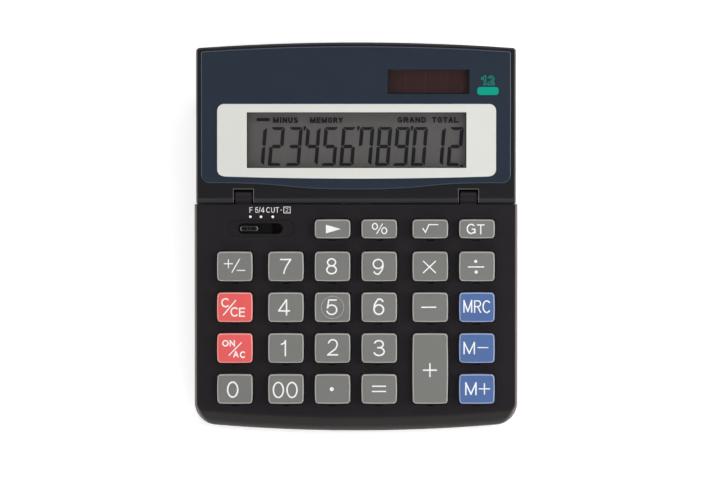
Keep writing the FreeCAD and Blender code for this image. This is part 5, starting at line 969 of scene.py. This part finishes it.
# %% Painted ridge highlight
RIDGE_X, RIDGE_Y, RIDGE_TOP, HIGHLIGHT_FROM, HIGHLIGHT_FULL = -50.2, 94.8, -0.3, 2.9, 4.0
highlighted, ridge_highlight_tree, ridge_highlight_shader = finish("abs_black_ridge_highlight", Roughness=0.35, IOR=1.54)
place = add(ridge_highlight_tree, "TexCoord").outputs["Object"]
along = add(ridge_highlight_tree, "SeparateXYZ", Vector=place).outputs["X"]
offset = add(ridge_highlight_tree, "Math", operation="SUBTRACT", _0=along, _1=RIDGE_X * MM)
apart = add(ridge_highlight_tree, "Math", operation="ABSOLUTE", _0=offset)
ridge_highlight = add(
    ridge_highlight_tree, "MapRange", interpolation_type="SMOOTHSTEP",
    Value=apart, _1=HIGHLIGHT_FROM * MM, _2=HIGHLIGHT_FULL * MM,
)
# The lighter tone is a painted highlight on the ridge's rim and ribs.
tone = add(ridge_highlight_tree, "Mix", data_type="RGBA", Factor=ridge_highlight, _6=linear("302E2D"), _7=linear("7C7A78"))
feed(ridge_highlight_tree, ridge_highlight_shader, Base_Color=tone)
print("highlighting starts", HIGHLIGHT_FROM, "mm from the ridge's middle")

# %% Thumb ridge
RIDGE_LONG, RIDGE_DEEP, RIM_CUTS = 8.5, 2.4, (0.05, 0.55)
RIB_PLACE, RIB_WIDE, RIB_DEEP = 0.75, 0.5, 1.0
bands = [tuple(obround(RIDGE_X, RIDGE_Y, RIDGE_LONG - 2 * cut, RIDGE_DEEP - 2 * cut) for cut in RIM_CUTS)]
bands += [(box_loop(RIDGE_X + side * RIB_PLACE, RIDGE_Y, RIB_WIDE, RIB_DEEP),) for side in (-1, 1)]
plate(
    "switch_ridge_crest", bands, RIDGE_TOP, RIDGE_TOP + INK, highlighted, "mode_slider", step=STROKE_LIFT,
)
print("ridge with", len(bands), "polished bands")

# %% [markdown]
# ## Edges of the hinge notches
# The head is cut out round each hinge knuckle. The cut edge is sharp, and a thin lighter line, a painted
# highlight where the edge catches the light, runs down the roll on both sides of the notch and along its
# back. A bevel on the CAD edge would be finer than a pixel, so the line is drawn as a narrow strip that
# follows the roll.

# %% Notch edges
HINGE_Y, HINGE_X, BARREL, NOTCH_HALF, NOTCH_GAP, LINE = 109.7, 52.8, 3.1, 4.6, 0.6, 0.28
ROLL_FROM, ROLL_STEP, ROLL_STEPS = 2.7, 0.3, 10
# The lighter line is a painted highlight.
notch_highlight = soft("abs_black_notch_highlight", "625E5B", "6C6865", 0.5, 900)


def roll_height(y):
    """Height of the head's top over its front roll."""
    if y > HINGE_Y:
        return HEAD_TOP
    return HEAD_TOP - BARREL + math.sqrt(BARREL ** 2 - (HINGE_Y - y) ** 2)


def notch_lines(centre):
    """Points and faces of the three lines round a notch, a hair above the head."""
    back = HINGE_Y + BARREL + NOTCH_GAP
    stations = [HINGE_Y - ROLL_FROM + ROLL_STEP * i for i in range(ROLL_STEPS)] + [back, back + LINE]
    points, faces = [], []
    for side in (-1, 1):
        edges = sorted((centre + side * NOTCH_HALF, centre + side * (NOTCH_HALF + LINE)))
        start = len(points)
        points += [(x, y, roll_height(y) + INK) for y in stations for x in edges]
        for first in range(start, start + 2 * len(stations) - 2, 2):
            faces.append([first, first + 1, first + 3, first + 2])
    start = len(points)
    points += [
        (centre + x * NOTCH_HALF, back + y * LINE, HEAD_TOP + INK)
        for x, y in ((-1, 0), (1, 0), (1, 1), (-1, 1))
    ]
    return points, faces + [[start, start + 1, start + 2, start + 3]]


for label, centre in (("left", -HINGE_X), ("right", HINGE_X)):
    edge_line = place_piece(f"{label}_notch_edge", *notch_lines(centre), notch_highlight, "display_head")
print("two highlit notch edges")

# %% [markdown]
# ## Metals, rubber and boards
# Screws are zinc-plated steel with fine turning marks. Pins and contacts are bright. The feet and the key
# sheet are moulded rubber, rough and a little dusty. The boards are solder resist over tracks: green on
# the display board, and near black on the key board, which is painted shade where it shows through the
# switch slot. Most of these only show with the case open or from below, so the recipes above are enough.

# %% Hidden and lower finishes
screw_zinc = metal("zinc_plated_steel", "8C8C8F", 0.34, 900)
pin_steel = metal("black_oxide_steel", "2C2C2F", 0.35, 1200)
contact_nickel = metal("nickel_plated_spring", "B4B0A8", 0.3, 1500)
cell_can = metal("battery_can_steel", "B9B9B9", 0.22, 700)
foot_rubber = soft("moulded_rubber_black", "131313", "1F1E1E", 0.78, 900)
sheet_rubber = soft("silicone_rubber_white", "B5B5B0", "C6C6C1", 0.6, 500)
resist = soft("green_solder_resist", "1F4F2E", "2C6A3E", 0.3, 250)
# The key board's near black is painted shade under the switch slot.
painted_shade_resist = soft("solder_resist_painted_shade", "090A0A", "111312", 0.35, 250)
resin = soft("black_epoxy_blob", "0B0B0C", "161617", 0.25, 300)
wire = soft("pvc_wire_red", "8E1A16", "A3211C", 0.38, 600)
film_white = soft("polyester_ribbon", "A9A9A3", "BDBDB8", 0.42, 400)
print("eleven finishes for the inside and the underside")

# %% [markdown]
# ## Finishes for the solids
# Each CAD solid gets its finish in its own material slot. Its mesh stays as it is. What the table doesn't
# name is a grey key.

# %% Assign
FINISHES = {
    case_abs: "base_top_shell base_bottom_cover battery_door",
    head_abs: "display_bezel display_back_cover",
    panel_film: "lcd_panel", amorphous: "solar_cell", slider_abs: "switch_knob",
    screw_zinc: "board_screws base_screws display_screws", pin_steel: "left_hinge_pin right_hinge_pin",
    contact_nickel: "switch_wiper battery_contact_negative battery_contact_positive",
    cell_can: "button_cell", foot_rubber: "rubber_feet zebra_strip", sheet_rubber: "rubber_keypad",
    resist: "display_board", painted_shade_resist: "key_circuit_board", resin: "calculator_chip",
    wire: "battery_leads solar_leads", film_white: "ribbon_cable", clear_acrylic: "display_lens",
    key_red: "key_on_clear key_clear_entry",
    key_blue: "key_memory_plus key_memory_minus key_memory_recall",
}
finished = {node: material for material, names in FINISHES.items() for node in names.split()}
for node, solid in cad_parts.items():
    solid.data.materials.clear()
    solid.data.materials.append(finished.get(node, key_grey))
print(len(finished), "solids by name,", len(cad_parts) - len(finished), "grey keys")

# %% [markdown]
# ## Studio
# The photograph looks straight down on a white ground, lit softly from all round. Four wide soft lamps
# stand round the object, low enough that rounded edges catch them, a small near one makes the right side
# a little lighter, and a pale world fills in from above. More light would whiten the floor but also wash
# out the object, so the floor glows a little of its own instead, for the camera and in reflections only.

# %% Floor
FLOOR_GLOW, FLOOR_HALF = 0.42, 3
ground, ground_tree, ground_shader, _ = mottled("studio_paper", "FDFDFD", "FFFFFF", 8, Roughness=0.9)
rays = add(ground_tree, "LightPath").outputs
shown_by = rays["Is Camera Ray"]
for kind in ("Is Glossy Ray", "Is Transmission Ray"):
    shown_by = add(ground_tree, "Math", operation="ADD", use_clamp=True, _0=shown_by, _1=rays[kind])
seen = add(ground_tree, "Math", operation="MULTIPLY", _0=shown_by, _1=FLOOR_GLOW)
feed(ground_tree, ground_shader, Emission_Color=linear("FFFFFF"), Emission_Strength=seen)
paper = bpy.data.meshes.new("studio_floor")
paper.from_pydata([(x, y, 0) for x, y in box_loop(0, 0, 2 * FLOOR_HALF, 2 * FLOOR_HALF)], [], [(0, 1, 2, 3)])
paper.materials.append(ground)
put("studio_floor", paper)
print("floor", 2 * FLOOR_HALF, "m wide")

# %% Lamps
WORLD_LIGHT, LIT_POINT = 0.13, Vector((0, 0, 0.02))
LAMPS = (
    ("lamp_rear", (0, 1.2, 0.9), 1.8, 0.6, 9.6),
    ("lamp_front", (0, -1.2, 0.8), 1.8, 0.6, 7.6),
    ("lamp_left", (-1.2, 0, 0.85), 0.6, 1.6, 8),
    ("lamp_right", (1.2, 0, 0.85), 0.6, 1.6, 7.6),
    ("lamp_near", (0.42, 0, 0.35), 0.3, 0.5, 0.85),
)
world = bpy.data.worlds.new("studio_world")
bpy.context.scene.world = world
world.use_nodes = True
sky = world.node_tree
feed(sky, sky.nodes["Background"], Color=linear("FFFFFF"), Strength=WORLD_LIGHT)
for name, place, wide, deep, power in LAMPS:
    light = bpy.data.lights.new(name, "AREA")
    light.shape = "RECTANGLE"
    light.size, light.size_y, light.energy = wide, deep, power
    lamp = put(name, light)
    lamp.location = place
    lamp.rotation_euler = (LIT_POINT - Vector(place)).to_track_quat("-Z", "Y").to_euler()
print(len(LAMPS), "lamps of", round(sum(lamp[-1] for lamp in LAMPS), 1), "W in all")

# %% [markdown]
# ## Camera
# The photograph was taken from above, 2.5 degrees in front of the vertical: the height of the keys and the
# head tells that. One pixel of the 720 by 480 picture is 0.47 mm on the keyboard. The middle of the
# picture lies a little right of the case's centre line, and forward of its middle. The camera stands 3 m
# away with a long lens, because the edges of the case show hardly any perspective.

# %% Camera
PIXEL, WIDE, DISTANCE, SENSOR, TILT = 0.47 * MM, 720, 3.0, 36, math.radians(2.5)
AIM = Vector((4 * PIXEL, FRONT_EDGE + 89.24 * MM, 20 * MM))
camera = bpy.data.cameras.new("camera")
camera.sensor_fit = "HORIZONTAL"
camera.sensor_width = SENSOR
camera.lens = SENSOR * DISTANCE / (PIXEL * WIDE)
eye = put("camera", camera)
eye.matrix_world = (
    Matrix.Translation(AIM) @ Matrix.Rotation(TILT, 4, "X") @ Matrix.Translation((0, 0, DISTANCE))
)
bpy.context.scene.camera = eye
bpy.context.scene.view_settings.view_transform = "Standard"
print("lens of", round(camera.lens, 1), "mm at", DISTANCE, "m")
